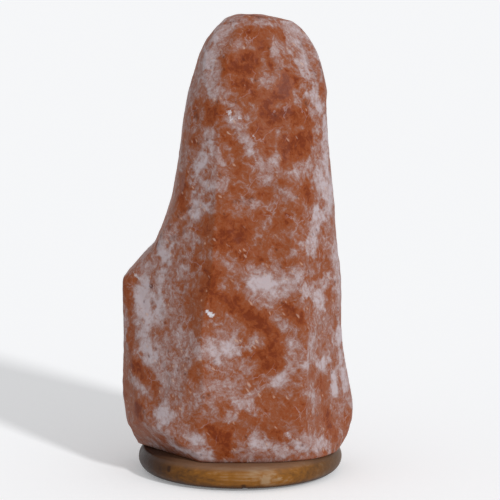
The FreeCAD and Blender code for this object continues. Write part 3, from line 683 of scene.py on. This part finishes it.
F, A, R, C = Look.FROSTED, Look.AMBER, Look.RUSTY, Look.CHALKY
FRONT_ZONES = tuple(Zone(*row) for row in (
    # The crown.
    (F, (226, 24), (204, 42), 9, 0.7), (F, (203, 44), (200, 70), 8, 0.6),
    (F, (212, 66), (215, 92), 9, 0.75), (F, (262, 22), (288, 27), 8, 0.8),
    (F, (290, 30), (306, 62), 9, 0.8), (F, (300, 62), (320, 112), 6, 0.95),
    (F, (306, 38), (321, 78), 6, 0.55), (R, (242, 15), (261, 17), 3, 0.9),
    (R, (228, 23), (238, 21), 1.5, 0.6), (R, (303, 30), (307, 38), 2, 0.9),
    (R, (319, 62), (324, 82), 2, 0.8), (R, (300, 40), (314, 76), 3, 0.3), (A, (252, 30), (262, 48), 6, 0.7),
    (A, (262, 48), (272, 70), 5, 1.0), (A, (228, 66), (252, 62), 13, 0.75),
    (A, (240, 84), (262, 98), 9, 0.7), (A, (287, 78), (283, 94), 8, 1.0),
    (A, (264, 98), (272, 112), 9, 0.8), (F, (274, 107), (306, 95), 2.5, 0.8),
    (A, (280, 116), (305, 118), 9, 0.85), (R, (306, 102), (308, 106), 2, 0.7),
    (A, (196, 106), (216, 112), 10, 0.9), (R, (195, 112), (197, 118), 2, 0.7),
    (A, (190, 138), (200, 145), 8, 0.7), (F, (219, 84), (232, 116), 6, 0.6),
    (F, (234, 124), (256, 160), 7, 0.35), (C, (229, 112), (231, 119), 1.8, 0.72),
    (C, (239, 118), (243, 120), 1.6, 0.8), (C, (250, 133), (256, 139), 1.0, 0.64),
    (C, (252, 152), (256, 160), 1.0, 0.64), (F, (236, 19), (218, 32), 7, 0.7),
    (F, (242, 22), (262, 23), 4, 0.5), (F, (296, 28), (312, 56), 7, 0.6),
    # The column.
    (A, (224, 140), (234, 146), 8, 0.85), (A, (236, 150), (242, 176), 7, 0.5),
    (A, (256, 134), (272, 150), 7, 0.7), (A, (282, 144), (304, 142), 10, 1.0),
    (A, (286, 160), (300, 154), 7, 0.9), (F, (278, 132), (275, 164), 3.5, 0.8),
    (F, (324, 120), (326, 166), 5, 0.8), (F, (296, 170), (322, 166), 8, 0.5),
    (F, (318, 174), (330, 208), 8, 0.7), (F, (209, 142), (200, 162), 8, 0.8),
    (F, (214, 156), (222, 186), 10, 0.55), (F, (203, 184), (198, 206), 8, 0.85),
    (A, (184, 172), (182, 208), 6, 0.9), (F, (166, 202), (164, 222), 4, 0.9),
    (F, (190, 212), (214, 208), 5, 0.7), (R, (172, 218), (190, 208), 1.6, 0.7),
    (R, (212, 205), (252, 199), 2.5, 0.45), (A, (256, 190), (268, 198), 8, 0.7),
    (F, (238, 176), (262, 184), 9, 0.35), (F, (236, 214), (262, 204), 5, 0.45),
    (A, (288, 184), (310, 192), 7, 0.5),
    # The shoulder and the ridge that runs down to it.
    (F, (150, 246), (176, 220), 5, 0.45), (R, (156, 244), (172, 226), 2.2, 0.55),
    (F, (165, 246), (166, 258), 7, 0.9), (R, (168, 240), (184, 232), 2, 0.35),
    (C, (133, 272), (139, 279), 2.4, 0.68), (F, (126, 270), (146, 258), 5, 0.6),
    (F, (141, 286), (148, 322), 8, 0.85), (F, (162, 274), (157, 318), 6, 0.75),
    (F, (146, 326), (146, 356), 9, 0.9), (R, (151, 284), (152, 287), 1.6, 1.0),
    (R, (152, 300), (152, 305), 1.6, 0.8), (A, (129, 296), (130, 350), 4, 0.9),
    (F, (182, 270), (196, 278), 6, 0.4), (F, (182, 330), (192, 340), 7, 0.5),
    (F, (196, 350), (210, 346), 5, 0.5), (F, (170, 300), (186, 346), 13, 0.32),
    (F, (160, 362), (192, 402), 12, 0.22), (F, (186, 216), (160, 240), 4, 0.3),
    # The broad front.
    (A, (206, 228), (262, 216), 10, 0.8), (A, (214, 240), (244, 234), 10, 1.0),
    (A, (248, 252), (280, 262), 13, 0.85), (A, (196, 262), (214, 272), 7, 0.7),
    (A, (276, 226), (292, 214), 9, 0.7), (F, (317, 218), (312, 246), 7, 0.9),
    (F, (300, 250), (278, 258), 6, 0.55), (F, (260, 283), (294, 274), 7, 0.75),
    (F, (268, 293), (288, 290), 6, 0.45), (F, (322, 279), (322, 306), 7, 1.0),
    (F, (304, 290), (316, 284), 5, 0.6), (C, (200, 305), (211, 316), 1.7, 0.9),
    (A, (214, 290), (240, 308), 8, 0.7), (A, (240, 310), (272, 324), 10, 1.0),
    (A, (284, 310), (304, 322), 9, 0.9), (F, (276, 320), (282, 324), 5, 0.6),
    (A, (274, 340), (276, 366), 9, 1.0), (A, (262, 352), (256, 380), 8, 0.5),
    (F, (216, 350), (236, 346), 9, 0.95), (F, (240, 344), (266, 342), 6, 0.75),
    (F, (242, 366), (248, 370), 7, 0.7), (F, (202, 352), (206, 356), 5, 0.5),
    (A, (138, 366), (153, 386), 8, 1.0), (F, (130, 374), (150, 394), 3.5, 0.7),
    (A, (196, 382), (222, 376), 8, 0.5), (F, (156, 417), (174, 414), 6, 0.8),
    (F, (166, 404), (174, 414), 4, 0.5),
    # The foot.
    (A, (138, 410), (150, 436), 6, 0.9), (A, (158, 436), (166, 440), 5, 0.8),
    (F, (172, 444), (206, 455), 5, 0.85), (F, (190, 438), (198, 442), 5, 0.6),
    (A, (214, 432), (226, 450), 8, 0.95), (F, (232, 420), (250, 398), 5, 0.8),
    (F, (250, 396), (284, 376), 4.5, 0.75), (F, (284, 376), (306, 364), 4, 0.7),
    (F, (238, 408), (250, 410), 6, 0.7), (C, (258, 421), (273, 424), 1.2, 0.72),
    (C, (286, 434), (291, 438), 1.8, 0.56), (A, (312, 374), (322, 382), 6, 0.7),
    (A, (296, 392), (310, 408), 6, 0.5), (A, (324, 410), (334, 436), 6, 0.75),
    (F, (318, 366), (330, 360), 5, 0.7), (F, (330, 368), (336, 396), 4, 0.8),
    (F, (304, 394), (318, 398), 4, 0.5), (F, (256, 442), (292, 454), 6, 0.7),
    (F, (298, 446), (328, 446), 6, 0.7), (F, (222, 456), (330, 456), 3, 0.5),
    (F, (338, 326), (344, 392), 4, 0.7), (F, (334, 238), (338, 318), 4, 0.45),
))
FRONT_CHIPS = (
    Chip((208, 160), 18, 1.6), Chip((202, 198), 13, 1.5), Chip((190, 160), 14, 1.3), Chip((228, 150), 14, 1.3),
    Chip((250, 60), 26, 1.5), Chip((214, 60), 20, 1.5), Chip((300, 55), 20, 1.6), Chip((160, 290), 24, 2.0),
    Chip((190, 250), 22, 1.8), Chip((230, 350), 24, 1.3), Chip((280, 280), 22, 1.3), Chip((318, 290), 20, 1.5),
    Chip((150, 380), 18, 1.5), Chip((190, 440), 20, 1.6), Chip((300, 400), 26, 1.3), Chip((300, 145), 20, 1.5),
    Chip((262, 220), 24, 1.3), Chip((240, 410), 22, 1.3),
)


def smooth(values: np.ndarray, low: float, high: float) -> np.ndarray:
    """A smooth step from 0 at low to 1 at high, for whole arrays."""
    share = np.clip((values - low) / (high - low), 0.0, 1.0)
    return share * share * (3.0 - 2.0 * share)


def facing(normals: np.ndarray) -> np.ndarray:
    """The direction in which a few vertices face together."""
    mean = normals.mean(axis=0)
    return mean / np.linalg.norm(mean)


def cloud(points: np.ndarray, wavelength: float, octaves: int, seed: float = 0.0) -> np.ndarray:
    """Fractal noise about 0 at each point.

    Args:
        points: Places in metres, one row each.
        wavelength: The size of its largest lumps, in metres.
        octaves: How many finer layers it has.
        seed: Moves to another part of the noise.

    Returns:
        One value for each point, mostly within 0.6 of nothing.
    """
    placed = points / wavelength + seed
    return np.array([noise.fractal(p, 0.9, 2.1, octaves, noise_basis="PERLIN_ORIGINAL") for p in placed])


@dataclass(frozen=True)
class Swell:
    """One layer of the face's unevenness: height and largest lump in metres, finer layers, place in the noise."""

    height: float
    wavelength: float
    octaves: int
    seed: float


@dataclass
class SaltBlock:
    """The rough block: the CAD solid made fine, softened at its edges, chipped flat, and painted by zones."""

    viewpoint: Viewpoint
    cell: float = 1.45 * MM
    soften_rounds: int = 9
    soften_share: float = 0.6
    base_top: float = 18.0 * MM
    bore_radius: float = 25.0 * MM
    bore_end: float = 135.0 * MM
    # A blow is flat out to one multiple of its reach, and ends at another. Where the block rises again
    # beyond a hollow, the blow fades out between two multiples of its depth.
    blow_flat: float = 1.2
    blow_end: float = 1.8
    fade_start: float = 1.4
    fade_end: float = 2.4
    # Stray blows: how many, over what span they take the face's direction, and how wide and deep they go.
    stray_chips: int = 110
    blow_span: float = 9.0 * MM
    stray_reach_mm: tuple[float, float] = (12.0, 22.0)
    stray_depth_mm: tuple[float, float] = (0.4, 1.7)
    seed: int = 11
    relief: tuple[Swell, ...] = (Swell(0.9 * MM, 0.055, 2, 3.7), Swell(0.4 * MM, 0.016, 3, 9.1),
                                 Swell(0.22 * MM, 0.0055, 3, 5.3))
    # How frosted the bare face is, and how much noise, dull flanks, painted light on the left front and the zones
    # change it.
    bare_veil: float = 0.455
    wild_veil: float = 0.6
    front_calm: float = 0.6
    flank_veil: float = 0.13
    left_painted_light: float = 0.1
    frosted_veil: float = 0.4
    amber_veil: float = 0.34
    stray_rust: float = 0.5

    def fine_mesh(self) -> bpy.types.Object:
        """The CAD solid as even, fine faces."""
        rough = piece_from(welded_copy("salt_crystal"), "block_rough")
        remesh = rough.modifiers.new("even_faces", "REMESH")
        remesh.mode = "VOXEL"
        remesh.voxel_size = self.cell
        remesh.use_smooth_shade = True
        made = baked(rough, "salt_block")
        made.data.name = "salt_block"
        return made

    def read(self, mesh: bpy.types.Mesh) -> tuple[np.ndarray, np.ndarray]:
        """The places and normals of a mesh's vertices."""
        count = len(mesh.vertices)
        places, normals = np.zeros(count * 3), np.zeros(count * 3)
        mesh.vertices.foreach_get("co", places)
        mesh.vertices.foreach_get("normal", normals)
        return places.reshape(-1, 3), normals.reshape(-1, 3)

    def write(self, mesh: bpy.types.Mesh, places: np.ndarray) -> None:
        """Moves a mesh's vertices."""
        mesh.vertices.foreach_set("co", places.ravel())
        mesh.update()

    def outside(self, places: np.ndarray) -> np.ndarray:
        """1 on the block's open faces, 0 in the bore, and falling to 0 towards the underside."""
        across = np.hypot(places[:, 0], places[:, 1])
        in_bore = (across < self.bore_radius + 3 * self.cell) & (places[:, 2] < self.bore_end + 3 * self.cell)
        above = smooth(places[:, 2], self.base_top + 0.5 * MM, self.base_top + 5 * MM)
        return np.where(in_bore, 0.0, above)

    def soften(self, mesh: bpy.types.Mesh) -> None:
        """Evens out the hewn edges of the open faces."""
        places, _ = self.read(mesh)
        free = self.outside(places)[:, None]
        count = len(mesh.edges)
        ends = np.zeros(count * 2, dtype=np.int64)
        mesh.edges.foreach_get("vertices", ends)
        first, second = ends.reshape(-1, 2).T
        degree = np.bincount(ends, minlength=len(places))[:, None]
        for _ in range(self.soften_rounds):
            around = np.zeros_like(places)
            np.add.at(around, first, places[second])
            np.add.at(around, second, places[first])
            places = places + self.soften_share * free * (around / degree - places)
        self.write(mesh, places)

    def struck(self, places: np.ndarray, centre: np.ndarray, outward: np.ndarray, reach: float,
               depth: float) -> np.ndarray:
        """Cuts one flat chip: what stands above its plane, near its centre, comes down to it.

        Args:
            places: The vertices, one row each.
            centre: The point on the face that is struck.
            outward: The way that the flat faces.
            reach: How far the flat may run from its centre.
            depth: How deep its plane lies below the centre.

        Returns:
            The vertices after the blow.
        """
        offset = places - centre
        height = offset @ outward + depth
        near = smooth(np.linalg.norm(offset, axis=1), reach * self.blow_end, reach * self.blow_flat)
        shallow = smooth(height, depth * self.fade_end, depth * self.fade_start)
        lowered = np.maximum(height, 0.0) * near * shallow
        return places - lowered[:, None] * outward

    def tree(self, mesh: bpy.types.Mesh, places: np.ndarray) -> BVHTree:
        """The block's faces, for lines of sight to be cast at."""
        return BVHTree.FromPolygons([Vector(p) for p in places], [p.vertices[:] for p in mesh.polygons])

    def met(self, tree: BVHTree, pixel: Pixel) -> tuple[np.ndarray, float] | None:
        """Where a pixel's line of sight meets the block and how far off, or nothing where it misses."""
        hit, _, _, distance = tree.ray_cast(self.viewpoint.eye, self.viewpoint.ray(pixel))
        return None if hit is None else (np.array(hit), distance)

    def carve(self, mesh: bpy.types.Mesh) -> None:
        """Chips the open faces flat here and there, then roughens them."""
        places, normals = self.read(mesh)
        free = self.outside(places)
        kept = places.copy()
        tree = self.tree(mesh, places)
        for chip in FRONT_CHIPS:
            met = self.met(tree, chip.centre)
            if met is None:
                continue
            hit, distance = met
            reach = chip.reach * distance / self.viewpoint.pixels_per_radian
            near = np.linalg.norm(kept - hit, axis=1) < reach / 2
            outward = facing(normals[near & (free > 0.5)])
            places = self.struck(places, hit, outward, reach, chip.depth * MM)
        dice = np.random.default_rng(self.seed)
        open_faces = np.flatnonzero(free > 0.9)
        for index in dice.choice(open_faces, self.stray_chips, replace=False):
            near = np.linalg.norm(kept - kept[index], axis=1) < self.blow_span
            reach = dice.uniform(*self.stray_reach_mm) * MM
            depth = dice.uniform(*self.stray_depth_mm) * MM
            places = self.struck(places, kept[index], facing(normals[near]), reach, depth)
        rough = sum(s.height * cloud(kept, s.wavelength, s.octaves, s.seed) for s in self.relief)
        places = places + (normals * rough[:, None])
        free = free[:, None]
        self.write(mesh, kept * (1 - free) + places * free)

    def stroke_cover(self, zone: Zone, places: np.ndarray, ragged: np.ndarray, tree: BVHTree) -> np.ndarray:
        """How far each vertex lies inside a zone, from 0 to 1."""
        met = [self.met(tree, pixel) for pixel in (zone.start, zone.end)]
        if any(m is None for m in met):
            return np.zeros(len(places))
        (start, _), (end, distance) = met
        along = end - start
        share = np.clip((places - start) @ along / max(along @ along, 1e-12), 0.0, 1.0)
        gap = np.linalg.norm(places - start - share[:, None] * along, axis=1)
        half = zone.half_width * (distance / self.viewpoint.pixels_per_radian)
        wobble = ragged * min(half * 0.9, 4.5 * MM)
        # Chalk and rust end sharply, frost and clear areas softly.
        spread, margin = (1.1, 0.3 * MM) if zone.look in (Look.CHALKY, Look.RUSTY) else (1.5, 0.8 * MM)
        return smooth(gap + wobble, half * spread + margin, half * 0.45) * zone.strength

    def colour(self, mesh: bpy.types.Mesh) -> None:
        """Writes how frosted, rusty and chalky each vertex is, with painted light on the left front."""
        places, normals = self.read(mesh)
        tree = self.tree(mesh, places)
        ragged = cloud(places, 0.011, 5, 17.3) * 2.0
        layers = {look: np.zeros(len(places)) for look in Look}
        for zone in FRONT_ZONES:
            cover = self.stroke_cover(zone, places, ragged, tree)
            layers[zone.look] = np.maximum(layers[zone.look], cover)
        wild = cloud(places, 0.036, 5, 1.9)
        # The zones say how the front looks; noise alone says how the sides and the back do.
        front = smooth(-places[:, 1], -10 * MM, 25 * MM)
        ground = self.bare_veil + self.wild_veil * wild * (1 - self.front_calm * front)
        # The column's flanks and the whole right flank are ground dull.
        sideways = smooth(np.abs(normals[:, 0]), 0.5, 0.95)
        dulled = np.maximum(smooth(places[:, 2], 130 * MM, 200 * MM), smooth(places[:, 0], 20 * MM, 50 * MM))
        # Painted light: the left front is made paler, standing in for light that the lamps leave off it.
        left = self.left_painted_light * front * smooth(-places[:, 0], 5 * MM, 55 * MM)
        ground += self.flank_veil * sideways * dulled + left
        veil = ground + self.frosted_veil * layers[Look.FROSTED] - self.amber_veil * layers[Look.AMBER]
        stray = smooth(cloud(places, 0.03, 3, 23.0), 0.35, 0.6)
        rust = layers[Look.RUSTY] + (1 - front) * self.stray_rust * stray
        for name, values in ((VEIL, veil), (RUST, rust), (CHALK, layers[Look.CHALKY])):
            kept = mesh.attributes.new(name, "FLOAT", "POINT")
            kept.data.foreach_set("value", values.astype(np.float32))

    def build(self) -> None:
        """Makes, carves and paints the block."""
        block = self.fine_mesh()
        self.soften(block.data)
        self.carve(block.data)
        self.colour(block.data)
        settle(block, RockSalt().build(), "lamp_body", "rock_salt", "salt_crystal")


# ---- Pieces that keep their solid's form ------------------------------------------------------------
SHARP_DEGREES = 35.0


def smoothed(node: str, name: str, material: bpy.types.Material, body: str, slot: str) -> None:
    """A CAD node's form as a new piece whose round faces are shaded smooth and whose edges stay crisp.

    Args:
        node: The CAD node that the piece stands for.
        name: The piece's own name.
        material: Its finish.
        body: The body it rides on.
        slot: Its material slot; not used.
    """
    piece = piece_from(welded_copy(node), name)
    for face in piece.data.polygons:
        face.use_smooth = True
    piece.data.set_sharp_from_angle(angle=math.radians(SHARP_DEGREES))
    settle(piece, material, body, slot, node)


def lathe(profile: Sequence[tuple[float, float]], segments: int) -> bmesh.types.BMesh:
    """Spins a closed profile of radii and heights right round the Z axis."""
    bm = bmesh.new()
    verts = [bm.verts.new((radius, 0.0, height)) for radius, height in profile]
    edges = [bm.edges.new((verts[i - 1], verts[i])) for i in range(len(verts))]
    bmesh.ops.spin(bm, geom=verts + edges, axis=(0, 0, 1), cent=(0, 0, 0), angle=math.tau, steps=segments,
                   use_merge=True)
    bmesh.ops.remove_doubles(bm, verts=bm.verts, dist=1e-7)
    bmesh.ops.recalc_face_normals(bm, faces=bm.faces)
    for face in bm.faces:
        face.smooth = True
    return bm


@dataclass(frozen=True)
class RolledThread:
    """The right-handed thread that is rolled into the lamp's cap and into the sleeve."""

    pitch: float = 2.822 * MM
    depth: float = 0.28 * MM
    run_out: float = 1.2 * MM
    step: float = 0.3 * MM
    segments: int = 72

    def wall(self, radius: float, low: float, high: float) -> list[tuple[float, float]]:
        """Profile points up a wall, close enough together to carry the thread."""
        count = math.ceil((high - low) / self.step)
        return [(radius, low + (high - low) * i / count) for i in range(count + 1)]

    def roll(self, bm: bmesh.types.BMesh, low: float, high: float, inner: float, outer: float,
             sense: float) -> None:
        """Presses the thread into the vertices whose radius and height lie between the given ones.

        Args:
            bm: The lathed shell.
            low: Where the thread starts.
            high: Where it ends.
            inner: The least radius that it reaches.
            outer: The greatest.
            sense: -1 where its grooves go inwards, 1 where they go outwards.
        """
        for vert in bm.verts:
            radius, height = math.hypot(vert.co.x, vert.co.y), vert.co.z
            if not (inner <= radius <= outer and low <= height <= high):
                continue
            ends = min(1.0, (height - low) / self.run_out, (high - height) / self.run_out)
            turn = math.tau * height / self.pitch - math.atan2(vert.co.y, vert.co.x)
            groove = sense * self.depth * ends * (0.5 - 0.5 * math.cos(turn))
            vert.co.x *= (radius + groove) / radius
            vert.co.y *= (radius + groove) / radius


# ---- Base -------------------------------------------------------------------------------------------
@dataclass(frozen=True)
class Base:
    """The turned base with its felt pads and the fastenings that hold the block."""

    def build(self) -> None:
        """Dresses the base, what is fixed to it, and the lampholder's screws, which share its zinc."""
        smoothed("wood_base", "turned_base", TurnedWood().build(), "lamp_body", "turned_wood")
        felt = Felt().build()
        for number in range(1, 5):
            smoothed(f"foot_pad_{number}", f"felt_pad_{number}", felt, "lamp_body", "felt")
        zinc = Metal("zinc_screw", "#c6cad0", "#8b9097", 0.32).build()
        smoothed("base_screws", "base_screw_set", zinc, "lamp_body", "zinc_screw")
        nylon = Moulding("nylon_plug", "#d8d5cc", "#bdb9ae", 0.42).build()
        smoothed("wall_plugs", "nylon_plugs", nylon, "lamp_body", "nylon_plug")
        smoothed("terminal_screws", "terminal_screw_pair", zinc, "lampholder", "zinc_screw")
        smoothed("cover_screws", "cover_screw_pair", zinc, "lampholder", "zinc_screw")


# ---- Lampholder -------------------------------------------------------------------------------------
@dataclass(frozen=True)
class Lampholder:
    """The sprung plate, the holder on it and the cover with its inlet."""

    sleeve_inner: float = 6.83 * MM
    sleeve_outer: float = 7.23 * MM
    sleeve_bottom: float = 28.5 * MM
    sleeve_top: float = 47.5 * MM
    contact_top: float = 38.8 * MM
    thread: RolledThread = RolledThread()

    def sleeve(self, brass: bpy.types.Material) -> None:
        """The threaded sleeve: grooved inside all the way up, and outside above the side contact."""
        thread = self.thread
        inside = thread.wall(self.sleeve_inner, self.sleeve_bottom, self.sleeve_top)
        outside = thread.wall(self.sleeve_outer, self.sleeve_bottom, self.sleeve_top)
        bm = lathe(outside + inside[::-1], thread.segments)
        middle = (self.sleeve_inner + self.sleeve_outer) / 2
        thread.roll(bm, self.sleeve_bottom + MM, self.sleeve_top - MM, 0.0, middle, 1.0)
        thread.roll(bm, self.contact_top, self.sleeve_top - MM, middle, 1.0, 1.0)
        settle(piece_from(bm, "rolled_sleeve"), brass, "lampholder", "contact_brass", "threaded_sleeve")

    def build(self) -> None:
        """Makes the sleeve and dresses the rest."""
        brass = Metal("contact_brass", "#d6b25c", "#a17f33", 0.3).build()
        self.sleeve(brass)
        smoothed("centre_contact", "centre_spring", brass, "lampholder", "contact_brass")
        smoothed("side_contact", "side_tongue", brass, "lampholder", "contact_brass")
        for node, name, finish in (
            ("retainer_plate", "pressed_plate",
             Metal("plate_steel", "#b7babd", "#83868a", 0.38, (0.1, 1.0, 1.0), 700.0)),
            ("spring_bracket", "sprung_bracket",
             Metal("spring_steel", "#90939a", "#5b5e64", 0.3, (1.0, 1.0, 0.08), 800.0)),
            ("lampholder_skirt", "holder_skirt", Moulding("holder_plastic", "#2b2b2f", "#1c1c1f", 0.36)),
            ("contact_carrier", "ceramic_carrier", Moulding("carrier_ceramic", "#ece7dc", "#d5cfc1", 0.3)),
            ("terminal_cover", "wiring_cover", Moulding("cover_plastic", "#303033", "#202023", 0.44)),
            ("inlet_grommet", "rubber_grommet", Moulding("inlet_rubber", "#232325", "#161617", 0.62, 900.0)),
        ):
            smoothed(node, name, finish.build(), "lampholder", finish.name)


# ---- Lamp -------------------------------------------------------------------------------------------
@dataclass(frozen=True)
class Bulb:
    """The small screw-in lamp."""

    cap_radius: float = 6.75 * MM
    cap_wall: float = 0.3 * MM
    cap_foot: float = 4.6 * MM
    cap_bottom: float = 30.85 * MM
    cap_shoulder: float = 32.45 * MM
    cap_top: float = 49.45 * MM
    neck_bottom: float = 42.45 * MM
    arch_half: float = 6.4 * MM
    arch_foot: float = 77.7 * MM
    arch_rise: float = 3.0 * MM
    coil_radius: float = 0.34 * MM
    coil_wire: float = 0.07 * MM
    coil_turns: int = 44
    points_a_turn: int = 10
    thread: RolledThread = RolledThread()

    def cap(self) -> None:
        """The metal cap with its rolled thread, which ends below the glass neck inside it."""
        wall, radius = self.cap_wall, self.cap_radius
        outside = [(self.cap_foot, self.cap_bottom), *self.thread.wall(radius, self.cap_shoulder, self.cap_top)]
        inside = [(self.cap_foot - wall, self.cap_bottom),
                  *self.thread.wall(radius - wall, self.cap_shoulder, self.cap_top)]
        bm = lathe(outside + inside[::-1], self.thread.segments)
        low, high = self.cap_shoulder + self.thread.step / 2, self.neck_bottom - self.thread.step
        self.thread.roll(bm, low, high, radius - 2 * wall, radius + wall, -1.0)
        finish = Metal("cap_metal", "#d4d3cf", "#a19f99", 0.26).build()
        settle(piece_from(bm, "screw_cap"), finish, "bulb", "cap_metal", "bulb_cap")

    def filament(self) -> None:
        """The fine coil that stands in an arch between the two lead wires."""
        curve = bpy.data.curves.new("coil", "CURVE")
        curve.dimensions = "3D"
        curve.bevel_depth = self.coil_wire
        curve.bevel_resolution = 1
        curve.use_fill_caps = True
        count = self.coil_turns * self.points_a_turn
        line = curve.splines.new("POLY")
        line.points.add(count)
        for i, point in enumerate(line.points):
            share = i / count
            slope = math.pi * share
            centre = Vector((-self.arch_half * math.cos(slope), 0.0,
                             self.arch_foot + self.arch_rise * math.sin(slope)))
            outward = Vector((-math.cos(slope), 0.0, math.sin(slope)))
            turn = math.tau * i / self.points_a_turn
            place = centre + self.coil_radius * (outward * math.cos(turn) + Vector((0, math.sin(turn), 0)))
            point.co = (*place, 1.0)
        made = baked(placed("coil", curve), "coiled_filament")
        made.data.materials.clear()
        finish = Metal("tungsten", "#a3a3a6", "#66666a", 0.42).build()
        settle(made, finish, "bulb", "tungsten", "bulb_filament")

    def build(self) -> None:
        """Makes the cap and the filament and dresses the rest."""
        self.cap()
        self.filament()
        for node, name, body, finish in (
            ("bulb_glass", "glass_envelope", "bulb", BlownGlass("envelope_glass")),
            ("bulb_stem", "glass_stem", "bulb", BlownGlass("stem_glass")),
            ("bulb_leads", "lead_wires", "bulb", Metal("lead_wire", "#c2bcb2", "#8d877c", 0.3)),
            ("bulb_contact", "solder_button", "bulb_foot", Metal("cap_solder", "#b7babe", "#83878c", 0.42)),
            ("bulb_insulator", "insulating_ring", "bulb_foot",
             Moulding("cap_glass", "#17171a", "#0d0d0f", 0.14)),
        ):
            smoothed(node, name, finish.build(), body, finish.name)


# ---- Everything -------------------------------------------------------------------------------------
def main() -> None:
    """Builds the studio, then each sub-assembly in turn, and notes the sizes."""
    logging.basicConfig(level=logging.INFO, format="%(name)s: %(message)s", force=True)
    viewpoint = Viewpoint()
    Studio().build(viewpoint)
    SaltBlock(viewpoint).build()
    Base().build()
    Lampholder().build()
    Bulb().build()


if __name__ == "__main__":
    main()
